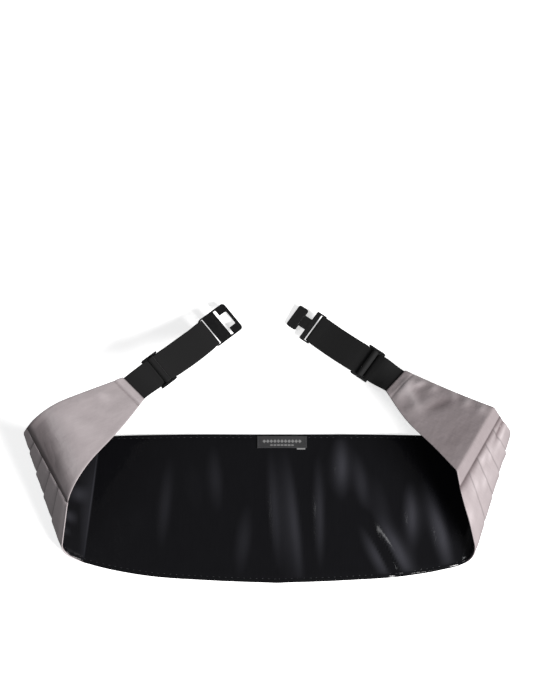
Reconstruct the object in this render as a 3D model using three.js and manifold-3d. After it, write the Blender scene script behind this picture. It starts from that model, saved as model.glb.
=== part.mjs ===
// Cummerbund lying on a flat surface with its lining up and both ends curled inwards over the panel.
// Millimetres, +Z up. The origin is the middle of the bounding box's underside, at the surface.
// The cloth is cut flat and then rolled up about straight lines, so every layer keeps its real length.
// In the flat pattern X runs along the waist from the middle of the panel, Y up to the top edge at 0,
// and W through the cloth, from the pleated front at 0 to the lining, which faces up where it lies flat.

import * as THREE from 'three';
import { mergeVertices } from 'three/addons/utils/BufferGeometryUtils.js';
import Module from 'manifold-3d';

const wasm = await Module();
wasm.setup();

// Sizes of the cut cloth
const PLEATED_LENGTH = 468; // from seam to seam along the pleated front
const PANEL_DEPTH = 127; // from the top edge to the bottom edge, in the middle
const LEFT_END_LENGTH = 103; // from the left seam to the end of the plain end piece
const RIGHT_END_LENGTH = 98;
const END_PIECE_TIP = 26; // width of the end piece where the elastic leaves it
const LEFT_TIP_DROP = 25.5; // from the line of the top edge down to the middle of that tip
const RIGHT_TIP_DROP = 21.5;
const LEFT_STRAP_RISE = 14.5; // degrees that the left elastic turns up towards the top edge
const RIGHT_STRAP_RISE = 11.5;
const FRONT_CLOTH = 1.0; // the pleated cloth with its backing
const PLEAT_COUNT = 5;
const PLEAT_STEP = 0.8; // height of each pleat's free edge above the next pleat
const END_CLOTH = 1.2;
const LINING_CLOTH = 1.0;
const LINING_INSET = 1.2; // rim of the front cloth that shows past the lining at the curled ends
const MIDDLE_INSET = 0.3; // and along the middle of the panel
const INSET_START = 0.6; // where the rim begins to widen, as a share of the way to the seam
const INSET_END = 0.8; // and where it has its full width
const RIPPLE_RISE = 1.4; // height of the tallest ripple of the lining
const LABEL_LENGTH = 42;
const LABEL_WIDTH = 10.5;
const LABEL_CLOTH = 1.0;
const LABEL_SHIFT = 4.3; // from the middle of the panel to the middle of the label
const LABEL_MARGIN = 2.0; // from the top edge to the label

// Sizes of the elastics and the fittings
const ELASTIC_WIDTH = 25;
const ELASTIC_THICKNESS = 1.0;
const SLOT_STRAP_LENGTH = 119; // from the left end piece to the outer edge of the slotted half
const HOOK_STRAP_LENGTH = 112.8; // from the right end piece to the end of the hook's head
const LEFT_STRAP_SWING = -1.1; // degrees about the vertical from the way that the end piece's tip points
const RIGHT_STRAP_SWING = -0.7;
const LEFT_STRAP_TILT = 10.5; // degrees that the strap leans sideways, up on its left seen from its root
const RIGHT_STRAP_TILT = -9;
const TWIST_LENGTH = 20; // from the end piece to where the elastic has turned to its strap's own lean
const SLIDER_REACH = 30; // from an end piece to the middle of its slider
const SLIDER_LENGTH = 16;
const SLIDER_WIDTH = 29;
const SLIDER_THICKNESS = 1.2;
const SLIDER_END_BAR = 2.0;
const SLIDER_MIDDLE_BAR = 2.8;
const SLIDER_ARCH = 1.8; // rise of the middle bar above the end bars
const SLIDER_RAIL_DEPTH = 3.4; // height of the two rails that join the bars
const CLASP_WIDTH = 28;
const CLASP_THICKNESS = 2.2;
const CLASP_CORNER = 3.0;
const CLASP_SLIT = 3.8; // opening that the elastic is threaded through
const CLASP_END_BAR = 2.0; // bar that the elastic turns round
const CLASP_BRIDGE = 11.8; // between the slit and the T-shaped opening
const CROSS_SLOT_LENGTH = 25.2;
const CROSS_SLOT_WIDTH = 4.0;
const STEM_SLOT_WIDTH = 13.4;
const STEM_SLOT_LENGTH = 7.8;
const OUTER_FRAME = 2.1;
const HOOK_HEAD_WIDTH = 20.8;
const HOOK_HEAD_LENGTH = 9.4;
const HOOK_HEAD_CORNER = 1.8;
const HOOK_NECK_WIDTH = 10.4;
const HOOK_NECK_LENGTH = 8.2;
const HOOK_SHOULDER = 4.0; // between the neck and the slit
const LOOP_SPREAD = 12; // length over which the two layers part to go round the clasp's bar

// Clearances
const LAYER_GAP = 0.3; // between cloths that lie on each other
const SEAM_GAP = 0.3; // between pieces that are sewn edge to edge
const STRAP_CLEARANCE = 0.3; // between an elastic and the bars that it goes round
const SIDE_CLEARANCE = 0.4; // between an elastic's edges and the fitting
const TABLE_CLEARANCE = 0.1; // under the clasp, where it comes down on the surface

// Fineness of the meshes
const BEND_STEP = 8; // degrees of roll in one row of faces
const FRONT_SPACING = 19; // widest column of the front where it is flat
const LINING_SPACING = 9;
const LEAST_STEP = 0.3; // narrowest column of a sheet
const LINING_ROWS = 9;
const END_ROWS = 6;
const ARC_STEPS = 8; // faces round half a turn of elastic
const TWIST_STEPS = 5; // rows of faces in an elastic's first stretch, where it twists

// The two long edges. along is 0 at the middle, 1 at the seam and 2 at the tip of the end piece,
// and drop is the distance below the line of the top edge, as a share of the panel's depth.
const TOP_EDGE = [
  { along: 0, drop: 0 },
  { along: 0.35, drop: 0 },
  { along: 0.65, drop: 0.016 },
  { along: 1, drop: 0.08 },
  { along: 1.5, drop: 0.086 },
];
const BOTTOM_EDGE = [
  { along: 0, drop: 1 },
  { along: 0.235, drop: 0.983 },
  { along: 0.47, drop: 0.95 },
  { along: 0.68, drop: 0.87 },
  { along: 0.83, drop: 0.77 },
  { along: 1, drop: 0.67 },
  { along: 1.4, drop: 0.525 },
  { along: 1.72, drop: 0.416 },
];

// The rolls of each end, from the middle outwards. at is where a roll starts on the middle line of the
// cloth, as a share of the way from the middle to the seam. lean is how far its line tilts outwards
// towards the top edge and turn is the angle rolled through, in degrees. inside is the lining's radius on
// the middle line, as a share of the panel's depth, and opening is how much the radius grows for each
// millimetre towards the top edge.
const LEFT_ROLLS = [
  { at: 0.66, lean: -5.5, inside: 0.039, opening: 0, turn: 26 },
  { at: 0.802, lean: 19.5, inside: 0.05, opening: 0.05, turn: 93 },
  { at: 0.983, lean: 3, inside: 0.227, opening: 0, turn: 82.5 },
];
const RIGHT_ROLLS = [
  { at: 0.691, lean: 15, inside: 0.088, opening: 0.05, turn: 126.5 },
  { at: 1.0435, lean: -0.5, inside: 0.0075, opening: 0, turn: 67 },
];

// Ripples of the lining. along and drop place the middle, as shares of half the pleated length and of
// the panel's depth, length and width are shares of the depth, lean is the tilt in degrees of the ripple's
// lower end towards +X, and rise is a share of the tallest ripple.
const RIPPLES = [
  { along: 0.03, drop: 0.56, length: 0.42, width: 0.07, lean: 5, rise: 1 },
  { along: 0.23, drop: 0.24, length: 0.18, width: 0.09, lean: 0, rise: 0.8 },
  { along: 0.15, drop: 0.5, length: 0.3, width: 0.05, lean: 1, rise: 0.5 },
  { along: 0.37, drop: 0.5, length: 0.25, width: 0.07, lean: 12, rise: 0.7 },
  { along: 0.44, drop: 0.8, length: 0.2, width: 0.06, lean: 30, rise: 1 },
  { along: 0.49, drop: 0.56, length: 0.18, width: 0.07, lean: 0, rise: 0.8 },
  { along: 0.58, drop: 0.7, length: 0.22, width: 0.06, lean: 12, rise: 0.8 },
  { along: -0.3, drop: 0.35, length: 0.3, width: 0.12, lean: 8, rise: 0.4 },
  { along: -0.5, drop: 0.6, length: 0.35, width: 0.12, lean: -8, rise: 0.35 },
];

// Heights of the layers through the cloth
const FRONT_INSIDE = FRONT_CLOTH + PLEAT_STEP;
const END_OUTSIDE = FRONT_INSIDE - END_CLOTH;
const LINING_OUTSIDE = FRONT_INSIDE + LAYER_GAP;
const LINING_INSIDE = LINING_OUTSIDE + LINING_CLOTH;

// Lengths that follow from the sizes
const SEAM = PLEATED_LENGTH / 2;
const PLEAT_LAND = 0.6; // share of a pleat that lies flat before it dips under the next
const PLEAT_EDGE = 0.03; // share of a pleat taken by its free edge

const radians = THREE.MathUtils.degToRad;
const UP = new THREE.Vector3(0, 0, 1);

// A smooth curve y(x) through a few points, with the slope at each taken from its neighbours
function curveThrough(points) {
  const slope = (i) => {
    const a = points[Math.max(i - 1, 0)];
    const b = points[Math.min(i + 1, points.length - 1)];
    return (b.y - a.y) / (b.x - a.x);
  };
  return (x) => {
    let i = points.findIndex((point) => point.x > x) - 1;
    if (i < 0) i = x < points[0].x ? 0 : points.length - 2;
    const a = points[i];
    const b = points[i + 1];
    const span = b.x - a.x;
    const t = (x - a.x) / span;
    const rise = b.y - a.y;
    const bend = (1 - t) * (slope(i) * span - rise) - t * (slope(i + 1) * span - rise);
    return a.y + t * rise + t * (1 - t) * bend;
  };
}

// The curve of one long edge, from its table and the corner of the tip that it ends at
function edgeCurve(table, corner) {
  const points = table.map(({ along, drop }) => {
    const beyondSeam = Math.max(along - 1, 0) * (corner.x - SEAM);
    return new THREE.Vector2(Math.min(along, 1) * SEAM + beyondSeam, -drop * PANEL_DEPTH);
  });
  return curveThrough([...points, corner]);
}

// One half of the flat cloth, worked out outwards, with the tip of its end piece cut square to the elastic
function cutHalf(endLength, tipDrop, rise) {
  const strapDirection = new THREE.Vector2(Math.cos(radians(rise)), Math.sin(radians(rise)));
  const tipMiddle = new THREE.Vector2(SEAM + endLength, -tipDrop);
  const tipAcross = new THREE.Vector2(-strapDirection.y, strapDirection.x);
  tipAcross.multiplyScalar(END_PIECE_TIP / 2);
  return {
    strapDirection,
    tipMiddle,
    tipAcross,
    top: edgeCurve(TOP_EDGE, tipMiddle.clone().add(tipAcross)),
    bottom: edgeCurve(BOTTOM_EDGE, tipMiddle.clone().sub(tipAcross)),
  };
}
const cloth = {
  left: cutHalf(LEFT_END_LENGTH, LEFT_TIP_DROP, LEFT_STRAP_RISE),
  right: cutHalf(RIGHT_END_LENGTH, RIGHT_TIP_DROP, RIGHT_STRAP_RISE),
};
const sideOf = (x) => (x < 0 ? 'left' : 'right');

// A line across the cloth, given by how far out it crosses the top edge's line and the deepest edge's
function acrossLine(point, direction) {
  const outAt = (y) => point.x + ((y - point.y) * direction.x) / direction.y;
  return { top: outAt(0), bottom: outAt(-PANEL_DEPTH) };
}
const seamLine = (shift) => ({ top: SEAM + shift, bottom: SEAM + shift });
function tipLine(side, shift) {
  const { tipMiddle, tipAcross, strapDirection } = cloth[side];
  return acrossLine(tipMiddle.clone().addScaledVector(strapDirection, shift), tipAcross);
}
const between = (a, b, t) => ({
  top: THREE.MathUtils.lerp(a.top, b.top, t),
  bottom: THREE.MathUtils.lerp(a.bottom, b.bottom, t),
});

// One roll: a cylinder about a line above the cloth, or a cone where the roll opens out
function makeRoll({ at, lean, inside, opening, turn }) {
  const along = new THREE.Vector3(Math.sin(radians(lean)), Math.cos(radians(lean)), 0);
  const out = new THREE.Vector3(along.y, -along.x, 0);
  const start = new THREE.Vector3(at * SEAM, -PANEL_DEPTH / 2, 0);
  const radius = LINING_INSIDE + inside * PANEL_DEPTH;
  const angle = radians(turn);
  if (opening === 0) {
    const end = start.clone().addScaledVector(out, radius * angle);
    return {
      turn,
      lines: [acrossLine(start, along), acrossLine(end, along)],
      motion(point) {
        const reached = point.clone().sub(start).dot(out) / radius;
        const rolled = THREE.MathUtils.clamp(reached, 0, angle);
        const slide = out.clone().multiplyScalar(-radius * rolled);
        const centre = start.clone().addScaledVector(UP, radius);
        const axis = out.clone().cross(UP);
        return turnAbout(centre, axis, rolled).multiply(new THREE.Matrix4().setPosition(slide));
      },
    };
  }
  const apex = start.clone().addScaledVector(along, -radius / opening);
  const cone = Math.atan(opening);
  const endDirection = along.clone().applyAxisAngle(UP, -angle * Math.sin(cone));
  return {
    turn,
    lines: [acrossLine(apex, along), acrossLine(apex, endDirection)],
    motion(point) {
      const arm = point.clone().sub(apex);
      const reached = Math.atan2(arm.dot(out), arm.dot(along)) / Math.sin(cone);
      const rolled = THREE.MathUtils.clamp(reached, 0, angle);
      const axis = along.clone().multiplyScalar(Math.cos(cone)).addScaledVector(UP, Math.sin(cone));
      return turnAbout(apex, axis, -rolled).multiply(turnAbout(apex, UP, rolled * Math.sin(cone)));
    },
  };
}

function turnAbout(centre, axis, angle) {
  return new THREE.Matrix4()
    .setPosition(centre)
    .multiply(new THREE.Matrix4().makeRotationAxis(axis, angle))
    .multiply(new THREE.Matrix4().setPosition(centre.clone().negate()));
}

const rolls = { left: LEFT_ROLLS.map(makeRoll), right: RIGHT_ROLLS.map(makeRoll) };

// Where a point of the flat cloth ends up. Both ends are worked out outwards and the left one mirrored.
function rollUp(x, y, w) {
  const flat = new THREE.Vector3(Math.abs(x), y, 0);
  const motion = new THREE.Matrix4();
  for (const roll of rolls[sideOf(x)]) motion.multiply(roll.motion(flat));
  const placed = new THREE.Vector3(flat.x, y, w).applyMatrix4(motion);
  if (x < 0) placed.x *= -1;
  return placed;
}

// Lines across one end from the start line to the end line, close together where the cloth is rolled
function linesAcross(side, start, end, spacing) {
  const lines = [start];
  const clear = (a, b) => a.top < b.top - LEAST_STEP && a.bottom < b.bottom - LEAST_STEP;
  const add = (line) => {
    if (clear(lines.at(-1), line) && clear(line, end)) lines.push(line);
  };
  const fill = (line, count) => {
    const from = lines.at(-1);
    for (let i = 1; i <= count; i += 1) add(between(from, line, i / count));
  };
  const flatCount = (line) => Math.ceil((line.top - lines.at(-1).top) / spacing);
  for (const roll of rolls[side]) {
    const [first, last] = roll.lines;
    if (clear(start, first) && clear(first, end)) fill(first, flatCount(first));
    const count = Math.ceil(roll.turn / BEND_STEP);
    for (let i = 0; i <= count; i += 1) add(between(first, last, i / count));
  }
  const from = lines.at(-1);
  const count = Math.max(flatCount(end), 1);
  for (let i = 1; i <= count; i += 1) lines.push(between(from, end, i / count));
  return lines;
}
const mirrored = (lines) => lines.map((line) => ({ top: -line.top, bottom: -line.bottom })).reverse();
const middleLine = { top: 0, bottom: 0 };
const bothEnds = (leftEnd, rightEnd, spacing) => [
  ...mirrored(linesAcross('left', middleLine, leftEnd, spacing)),
  ...linesAcross('right', middleLine, rightEnd, spacing).slice(1),
];
const evenRows = (count) => Array.from({ length: count + 1 }, (_, i) => i / count);

// The flat point on a line across the cloth, a share of the way from the top edge to the bottom edge
function flatPoint(line, share, edges) {
  let x = (line.top + line.bottom) / 2;
  let y = 0;
  for (let pass = 0; pass < 6; pass += 1) {
    y = THREE.MathUtils.lerp(edges.top(x), edges.bottom(x), share);
    x = THREE.MathUtils.lerp(line.top, line.bottom, -y / PANEL_DEPTH);
  }
  return { x, y };
}

// A closed sheet of cloth between two heights, cut to its edges and rolled up with the rest
function makeSheet({ lines, rows, edges, outside, inside }) {
  const columns = lines.length - 1;
  const geometry = new THREE.BoxGeometry(1, 1, 1, columns, rows.length - 1, 1);
  const corner = geometry.attributes.position;
  for (let i = 0; i < corner.count; i += 1) {
    const line = lines[Math.round((corner.getX(i) + 0.5) * columns)];
    const row = Math.round((0.5 - corner.getY(i)) * (rows.length - 1));
    const { x, y } = flatPoint(line, rows[row], edges);
    const w = corner.getZ(i) < 0 ? outside(row, x, y) : inside(row, x, y);
    const placed = rollUp(x, y, w);
    corner.setXYZ(i, placed.x, placed.y, placed.z);
  }
  geometry.computeVertexNormals();
  return geometry;
}
const clothEdges = (inset) => ({
  top: (x) => cloth[sideOf(x)].top(Math.abs(x)) - inset(x),
  bottom: (x) => cloth[sideOf(x)].bottom(Math.abs(x)) + inset(x),
});
const noInset = () => 0;
function liningInset(x) {
  const widened = THREE.MathUtils.smoothstep(Math.abs(x) / SEAM, INSET_START, INSET_END);
  return THREE.MathUtils.lerp(MIDDLE_INSET, LINING_INSET, widened);
}

function frontPanel() {
  const rows = [];
  const heights = [];
  for (let pleat = 0; pleat < PLEAT_COUNT; pleat += 1) {
    const corners = [pleat, pleat + PLEAT_LAND, pleat + 1 - PLEAT_EDGE];
    rows.push(...corners.map((corner) => corner / PLEAT_COUNT));
    heights.push(0, 0, PLEAT_STEP);
  }
  rows.push(1);
  heights.push(PLEAT_STEP);
  return makeSheet({
    lines: bothEnds(seamLine(-SEAM_GAP / 2), seamLine(-SEAM_GAP / 2), FRONT_SPACING),
    rows,
    edges: clothEdges(noInset),
    outside: (row) => heights[row],
    inside: () => FRONT_INSIDE,
  });
}

function endPiece(side) {
  const lines = linesAcross(side, seamLine(SEAM_GAP / 2), tipLine(side, 0), FRONT_SPACING);
  return makeSheet({
    lines: side === 'left' ? mirrored(lines) : lines,
    rows: evenRows(END_ROWS),
    edges: clothEdges(noInset),
    outside: () => END_OUTSIDE,
    inside: () => FRONT_INSIDE,
  });
}

// Height of the lining's ripples at a flat point, each one a smooth ridge that fades at its ends
function rippleHeight(x, y) {
  let height = 0;
  for (const { along, drop, length, width, lean, rise } of RIPPLES) {
    const dx = x - along * SEAM;
    const dy = y + drop * PANEL_DEPTH;
    const lengthwise = dx * Math.sin(radians(lean)) - dy * Math.cos(radians(lean));
    const sideways = dx * Math.cos(radians(lean)) + dy * Math.sin(radians(lean));
    const fade = (lengthwise / (length * PANEL_DEPTH)) ** 2 + (sideways / (width * PANEL_DEPTH)) ** 2;
    height += RIPPLE_RISE * rise * Math.exp(-fade);
  }
  return height;
}

function lining() {
  return makeSheet({
    lines: bothEnds(tipLine('left', -LINING_INSET), tipLine('right', -LINING_INSET), LINING_SPACING),
    rows: evenRows(LINING_ROWS),
    edges: clothEdges(liningInset),
    outside: (row, x, y) => LINING_OUTSIDE + rippleHeight(x, y),
    inside: (row, x, y) => LINING_INSIDE + rippleHeight(x, y),
  });
}

function label() {
  const left = LABEL_SHIFT - LABEL_LENGTH / 2;
  const straight = (x) => ({ top: x, bottom: x });
  const under = (x, y) => LINING_INSIDE + LAYER_GAP + rippleHeight(x, y);
  return makeSheet({
    lines: evenRows(8).map((share) => straight(left + share * LABEL_LENGTH)),
    rows: evenRows(4),
    edges: { top: () => -LABEL_MARGIN, bottom: () => -LABEL_MARGIN - LABEL_WIDTH },
    outside: (row, x, y) => under(x, y),
    inside: (row, x, y) => under(x, y) + LABEL_CLOTH,
  });
}

// Each strap has its own frame: X along it from the end piece, Y across it, Z towards the side that
// faces up, and the elastic's middle at 0. These are the heights of its layers in that frame.
const RETURN_LAYER = ELASTIC_THICKNESS + LAYER_GAP;
const CLASP_HEIGHT = RETURN_LAYER / 2;
const END_BAR_HEIGHT = -(ELASTIC_THICKNESS / 2 + STRAP_CLEARANCE + SLIDER_THICKNESS / 2);
const MIDDLE_BAR_HEIGHT = END_BAR_HEIGHT + SLIDER_ARCH;
const MIDDLE_BAR_WRAP =
  Math.hypot(SLIDER_MIDDLE_BAR, SLIDER_THICKNESS) / 2 + STRAP_CLEARANCE + ELASTIC_THICKNESS / 2;
const UNDER_WRAP = MIDDLE_BAR_HEIGHT - MIDDLE_BAR_WRAP - ELASTIC_THICKNESS - STRAP_CLEARANCE;
const LOOP_RADIUS = CLASP_THICKNESS / 2 + STRAP_CLEARANCE + ELASTIC_THICKNESS / 2;
const LOOP_SHIFT = 0.6; // the loop's centre past the middle of the clasp's bar
const SLIT_WIDTH = ELASTIC_WIDTH + 2 * SIDE_CLEARANCE; // of each opening that an elastic goes through
const WRAP_START = -80; // degrees round the slider's middle bar, where the returning layer meets it
const WRAP_END = -310; // and where the elastic's sewn end lies, past the top of the bar

function arcPoints(centreX, centreZ, radius, from, to) {
  return evenRows(ARC_STEPS).map((share) => {
    const angle = radians(THREE.MathUtils.lerp(from, to, share));
    return new THREE.Vector2(centreX + radius * Math.cos(angle), centreZ + radius * Math.sin(angle));
  });
}

// The elastic's middle line, seen from its edge. It goes under the slider's wrapped bar and over its
// end bars, round the clasp's bar and back, and its end wraps the slider's middle bar.
function elasticPath(barX) {
  const point = (x, z) => new THREE.Vector2(x, z);
  const slotHalf = SLIDER_LENGTH / 2 - SLIDER_END_BAR;
  const dipEdge = slotHalf - STRAP_CLEARANCE;
  const loopX = barX + LOOP_SHIFT;
  const twistRow = (share) => point(THREE.MathUtils.lerp(SEAM_GAP, TWIST_LENGTH, share), 0);
  return [
    ...evenRows(TWIST_STEPS).map(twistRow),
    point(SLIDER_REACH - dipEdge, 0),
    point(SLIDER_REACH - SLIDER_MIDDLE_BAR / 2, UNDER_WRAP),
    point(SLIDER_REACH + SLIDER_MIDDLE_BAR / 2, UNDER_WRAP),
    point(SLIDER_REACH + dipEdge, 0),
    point(barX - LOOP_SPREAD, 0),
    ...arcPoints(loopX, CLASP_HEIGHT, LOOP_RADIUS, -90, 90),
    point(barX - LOOP_SPREAD, RETURN_LAYER),
    point(SLIDER_REACH + dipEdge, RETURN_LAYER),
    ...arcPoints(SLIDER_REACH, MIDDLE_BAR_HEIGHT, MIDDLE_BAR_WRAP, WRAP_START, WRAP_END),
  ];
}

// The outline of a band of even thickness about a middle line
function bandShape(path, thickness) {
  const side = (sign) => path.map((point, i) => {
    const before = path[Math.max(i - 1, 0)];
    const after = path[Math.min(i + 1, path.length - 1)];
    const arrive = point.clone().sub(before).normalize();
    const leave = after.clone().sub(point).normalize();
    const along = arrive.clone().add(leave).normalize();
    const mitre = Math.max(along.dot(arrive), along.dot(leave));
    const spread = (sign * thickness) / 2 / mitre;
    return point.clone().add(new THREE.Vector2(-along.y, along.x).multiplyScalar(spread));
  });
  return new THREE.Shape([...side(1), ...side(-1).reverse()]);
}

// The elastic, which leaves the end piece lying in its cloth and turns to the strap's own frame.
// tipFrame is the frame of the cloth's tip, as seen from the strap's.
function elastic(barX, tipFrame) {
  const shape = bandShape(elasticPath(barX), ELASTIC_THICKNESS);
  const geometry = new THREE.ExtrudeGeometry(shape, { depth: ELASTIC_WIDTH, bevelEnabled: false });
  geometry.rotateX(Math.PI / 2).translate(0, ELASTIC_WIDTH / 2, 0);
  const corner = geometry.attributes.position;
  for (let i = 0; i < corner.count; i += 1) {
    const straight = new THREE.Vector3().fromBufferAttribute(corner, i);
    const turned = THREE.MathUtils.smoothstep(straight.x, SEAM_GAP, TWIST_LENGTH);
    const placed = straight.clone().applyMatrix4(tipFrame).lerp(straight, turned);
    corner.setXYZ(i, placed.x, placed.y, placed.z);
  }
  geometry.computeVertexNormals();
  return geometry;
}

function rectanglePath(fromX, toX, width) {
  const half = width / 2;
  const corners = [[fromX, -half], [toX, -half], [toX, half], [fromX, half]];
  return new THREE.Path(corners.map(([x, y]) => new THREE.Vector2(x, y)));
}

// A closed geometry as a solid that can be cut and joined, and such a solid as a geometry again
function toSolid(geometry) {
  const bare = geometry.clone();
  bare.deleteAttribute('normal');
  bare.deleteAttribute('uv');
  const merged = mergeVertices(bare, 1e-4);
  const triVerts = new Uint32Array(merged.index.array);
  return new wasm.Manifold(
    new wasm.Mesh({ numProp: 3, vertProperties: merged.attributes.position.array, triVerts }),
  );
}
function toGeometry(solid) {
  const { vertProperties, triVerts } = solid.getMesh();
  const result = new THREE.BufferGeometry();
  result.setAttribute('position', new THREE.BufferAttribute(vertProperties, 3));
  result.setIndex(new THREE.BufferAttribute(triVerts, 1));
  result.computeVertexNormals();
  return result;
}

// A slider: an arched plate with a slot on each side of its raised middle bar, between two deeper rails
function slider() {
  const railWidth = (SLIDER_WIDTH - SLIT_WIDTH) / 2;
  const plateWidth = SLIDER_WIDTH - railWidth;
  const slotEnd = SLIDER_LENGTH / 2 - SLIDER_END_BAR;
  const slotStart = SLIDER_MIDDLE_BAR / 2;
  const arch = [
    new THREE.Vector2(-SLIDER_LENGTH / 2, 0),
    new THREE.Vector2(-slotEnd, 0),
    new THREE.Vector2(-slotStart, SLIDER_ARCH),
    new THREE.Vector2(slotStart, SLIDER_ARCH),
    new THREE.Vector2(slotEnd, 0),
    new THREE.Vector2(SLIDER_LENGTH / 2, 0),
  ];
  const plate = new THREE.ExtrudeGeometry(bandShape(arch, SLIDER_THICKNESS), {
    depth: plateWidth,
    bevelEnabled: false,
  });
  plate.rotateX(Math.PI / 2).translate(0, plateWidth / 2, 0);
  const slotHeight = 2 * (SLIDER_ARCH + SLIDER_THICKNESS);
  const slot = new THREE.BoxGeometry(slotEnd - slotStart, SLIT_WIDTH, slotHeight);
  const rail = new THREE.BoxGeometry(SLIDER_LENGTH, railWidth, SLIDER_RAIL_DEPTH);
  const slotShift = (slotStart + slotEnd) / 2;
  const railShift = (SLIT_WIDTH + railWidth) / 2;
  let solid = toSolid(plate);
  for (const side of [-1, 1]) {
    solid = solid.subtract(toSolid(slot.clone().translate(side * slotShift, 0, 0)));
    solid = solid.add(toSolid(rail.clone().translate(0, side * railShift, SLIDER_ARCH / 2)));
  }
  return toGeometry(solid);
}

// A plate of the clasp, extruded to its thickness with its middle at the clasp's height
function claspPlate(shape) {
  const options = { depth: CLASP_THICKNESS, bevelEnabled: false, curveSegments: 5 };
  return new THREE.ExtrudeGeometry(shape, options).translate(0, 0, -CLASP_THICKNESS / 2);
}
const threadedSlit = (barEnd) => rectanglePath(barEnd, barEnd + CLASP_SLIT, SLIT_WIDTH);

// The slotted half lies from the bar that the elastic goes round, at 0, to its outer frame
const SLOT_HALF_REACH =
  CLASP_END_BAR / 2 + CLASP_SLIT + CLASP_BRIDGE + CROSS_SLOT_WIDTH + STEM_SLOT_LENGTH + OUTER_FRAME;
function claspSlot() {
  const barEnd = CLASP_END_BAR / 2;
  const half = CLASP_WIDTH / 2;
  const shape = new THREE.Shape();
  shape.moveTo(-barEnd, -half);
  shape.lineTo(SLOT_HALF_REACH - CLASP_CORNER, -half);
  shape.absarc(SLOT_HALF_REACH - CLASP_CORNER, CLASP_CORNER - half, CLASP_CORNER, -Math.PI / 2, 0, false);
  shape.absarc(SLOT_HALF_REACH - CLASP_CORNER, half - CLASP_CORNER, CLASP_CORNER, 0, Math.PI / 2, false);
  shape.lineTo(-barEnd, half);
  const crossStart = barEnd + CLASP_SLIT + CLASP_BRIDGE;
  const crossEnd = crossStart + CROSS_SLOT_WIDTH;
  const stemEnd = crossEnd + STEM_SLOT_LENGTH;
  const cross = CROSS_SLOT_LENGTH / 2;
  const stem = STEM_SLOT_WIDTH / 2;
  const corners = [
    [crossStart, -cross], [crossEnd, -cross], [crossEnd, -stem], [stemEnd, -stem],
    [stemEnd, stem], [crossEnd, stem], [crossEnd, cross], [crossStart, cross],
  ];
  shape.holes = [threadedSlit(barEnd), new THREE.Path(corners.map(([x, y]) => new THREE.Vector2(x, y)))];
  return claspPlate(shape);
}

// The hook half: body with its slit, neck, and a head wider than the neck
const HOOK_HALF_REACH =
  CLASP_END_BAR / 2 + CLASP_SLIT + HOOK_SHOULDER + HOOK_NECK_LENGTH + HOOK_HEAD_LENGTH;
function claspHook() {
  const barEnd = CLASP_END_BAR / 2;
  const half = CLASP_WIDTH / 2;
  const neck = HOOK_NECK_WIDTH / 2;
  const head = HOOK_HEAD_WIDTH / 2;
  const bodyEnd = barEnd + CLASP_SLIT + HOOK_SHOULDER;
  const headStart = bodyEnd + HOOK_NECK_LENGTH;
  const cornerX = HOOK_HALF_REACH - HOOK_HEAD_CORNER;
  const shape = new THREE.Shape();
  shape.moveTo(-barEnd, -half);
  shape.lineTo(bodyEnd, -half);
  shape.lineTo(bodyEnd, -neck);
  shape.lineTo(headStart, -neck);
  shape.lineTo(headStart, -head);
  shape.absarc(cornerX, HOOK_HEAD_CORNER - head, HOOK_HEAD_CORNER, -Math.PI / 2, 0, false);
  shape.absarc(cornerX, head - HOOK_HEAD_CORNER, HOOK_HEAD_CORNER, 0, Math.PI / 2, false);
  shape.lineTo(headStart, head);
  shape.lineTo(headStart, neck);
  shape.lineTo(bodyEnd, neck);
  shape.lineTo(bodyEnd, half);
  shape.lineTo(-barEnd, half);
  shape.holes = [threadedSlit(barEnd)];
  return claspPlate(shape);
}

const satin = (color) => new THREE.MeshStandardMaterial({ color, roughness: 0.38, metalness: 0 });
const materials = {
  greySatin: satin(0xa9a3a5),
  blackSatin: satin(0x1b1b20),
  elastic: new THREE.MeshStandardMaterial({ color: 0x1d1e1f, roughness: 0.85, metalness: 0 }),
  plastic: new THREE.MeshStandardMaterial({ color: 0x121314, roughness: 0.4, metalness: 0 }),
  label: new THREE.MeshStandardMaterial({ color: 0x202026, roughness: 0.7, metalness: 0 }),
};

function piece(name, geometry, material) {
  const mesh = new THREE.Mesh(geometry, material);
  mesh.name = name;
  return mesh;
}

// One strap, set on the tip of its end piece and sloped until the clasp's end comes down on the surface
function strap({ side, length, swing, tilt, claspReach, claspEndWidth, clasp }) {
  const sign = side === 'left' ? -1 : 1;
  const height = (END_OUTSIDE + LINING_INSIDE) / 2;
  const { tipMiddle, strapDirection } = cloth[side];
  const placed = (x, y, w) => rollUp(sign * x, y, w);
  const root = placed(tipMiddle.x, tipMiddle.y, height);
  const reach = tipMiddle.clone().add(strapDirection);
  const along = placed(reach.x, reach.y, height).sub(root).normalize();
  const up = placed(tipMiddle.x, tipMiddle.y, height - 1).sub(root).normalize();
  const tipFrame = new THREE.Matrix4().makeBasis(along, up.clone().cross(along), up);

  const roll = radians(tilt);
  const heading = Math.atan2(along.y, along.x) + radians(swing);
  const underside = CLASP_HEIGHT - CLASP_THICKNESS / 2;
  const lowCorner = underside * Math.cos(roll) - (claspEndWidth / 2) * Math.abs(Math.sin(roll));
  const fall = Math.asin((root.z - TABLE_CLEARANCE) / Math.hypot(length, lowCorner));
  const slope = fall + Math.atan2(lowCorner, length);

  const barX = length - claspReach;
  const group = new THREE.Group();
  group.position.copy(root);
  group.rotation.set(roll, slope, heading, 'ZYX');
  tipFrame.premultiply(new THREE.Matrix4().makeRotationFromEuler(group.rotation).invert());
  const sliderMesh = piece(`slider_${side}`, slider(), materials.plastic);
  sliderMesh.position.set(SLIDER_REACH, 0, END_BAR_HEIGHT);
  clasp.position.set(barX, 0, CLASP_HEIGHT);
  group.add(piece(`elastic_${side}`, elastic(barX, tipFrame), materials.elastic), sliderMesh, clasp);
  return group;
}

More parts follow.
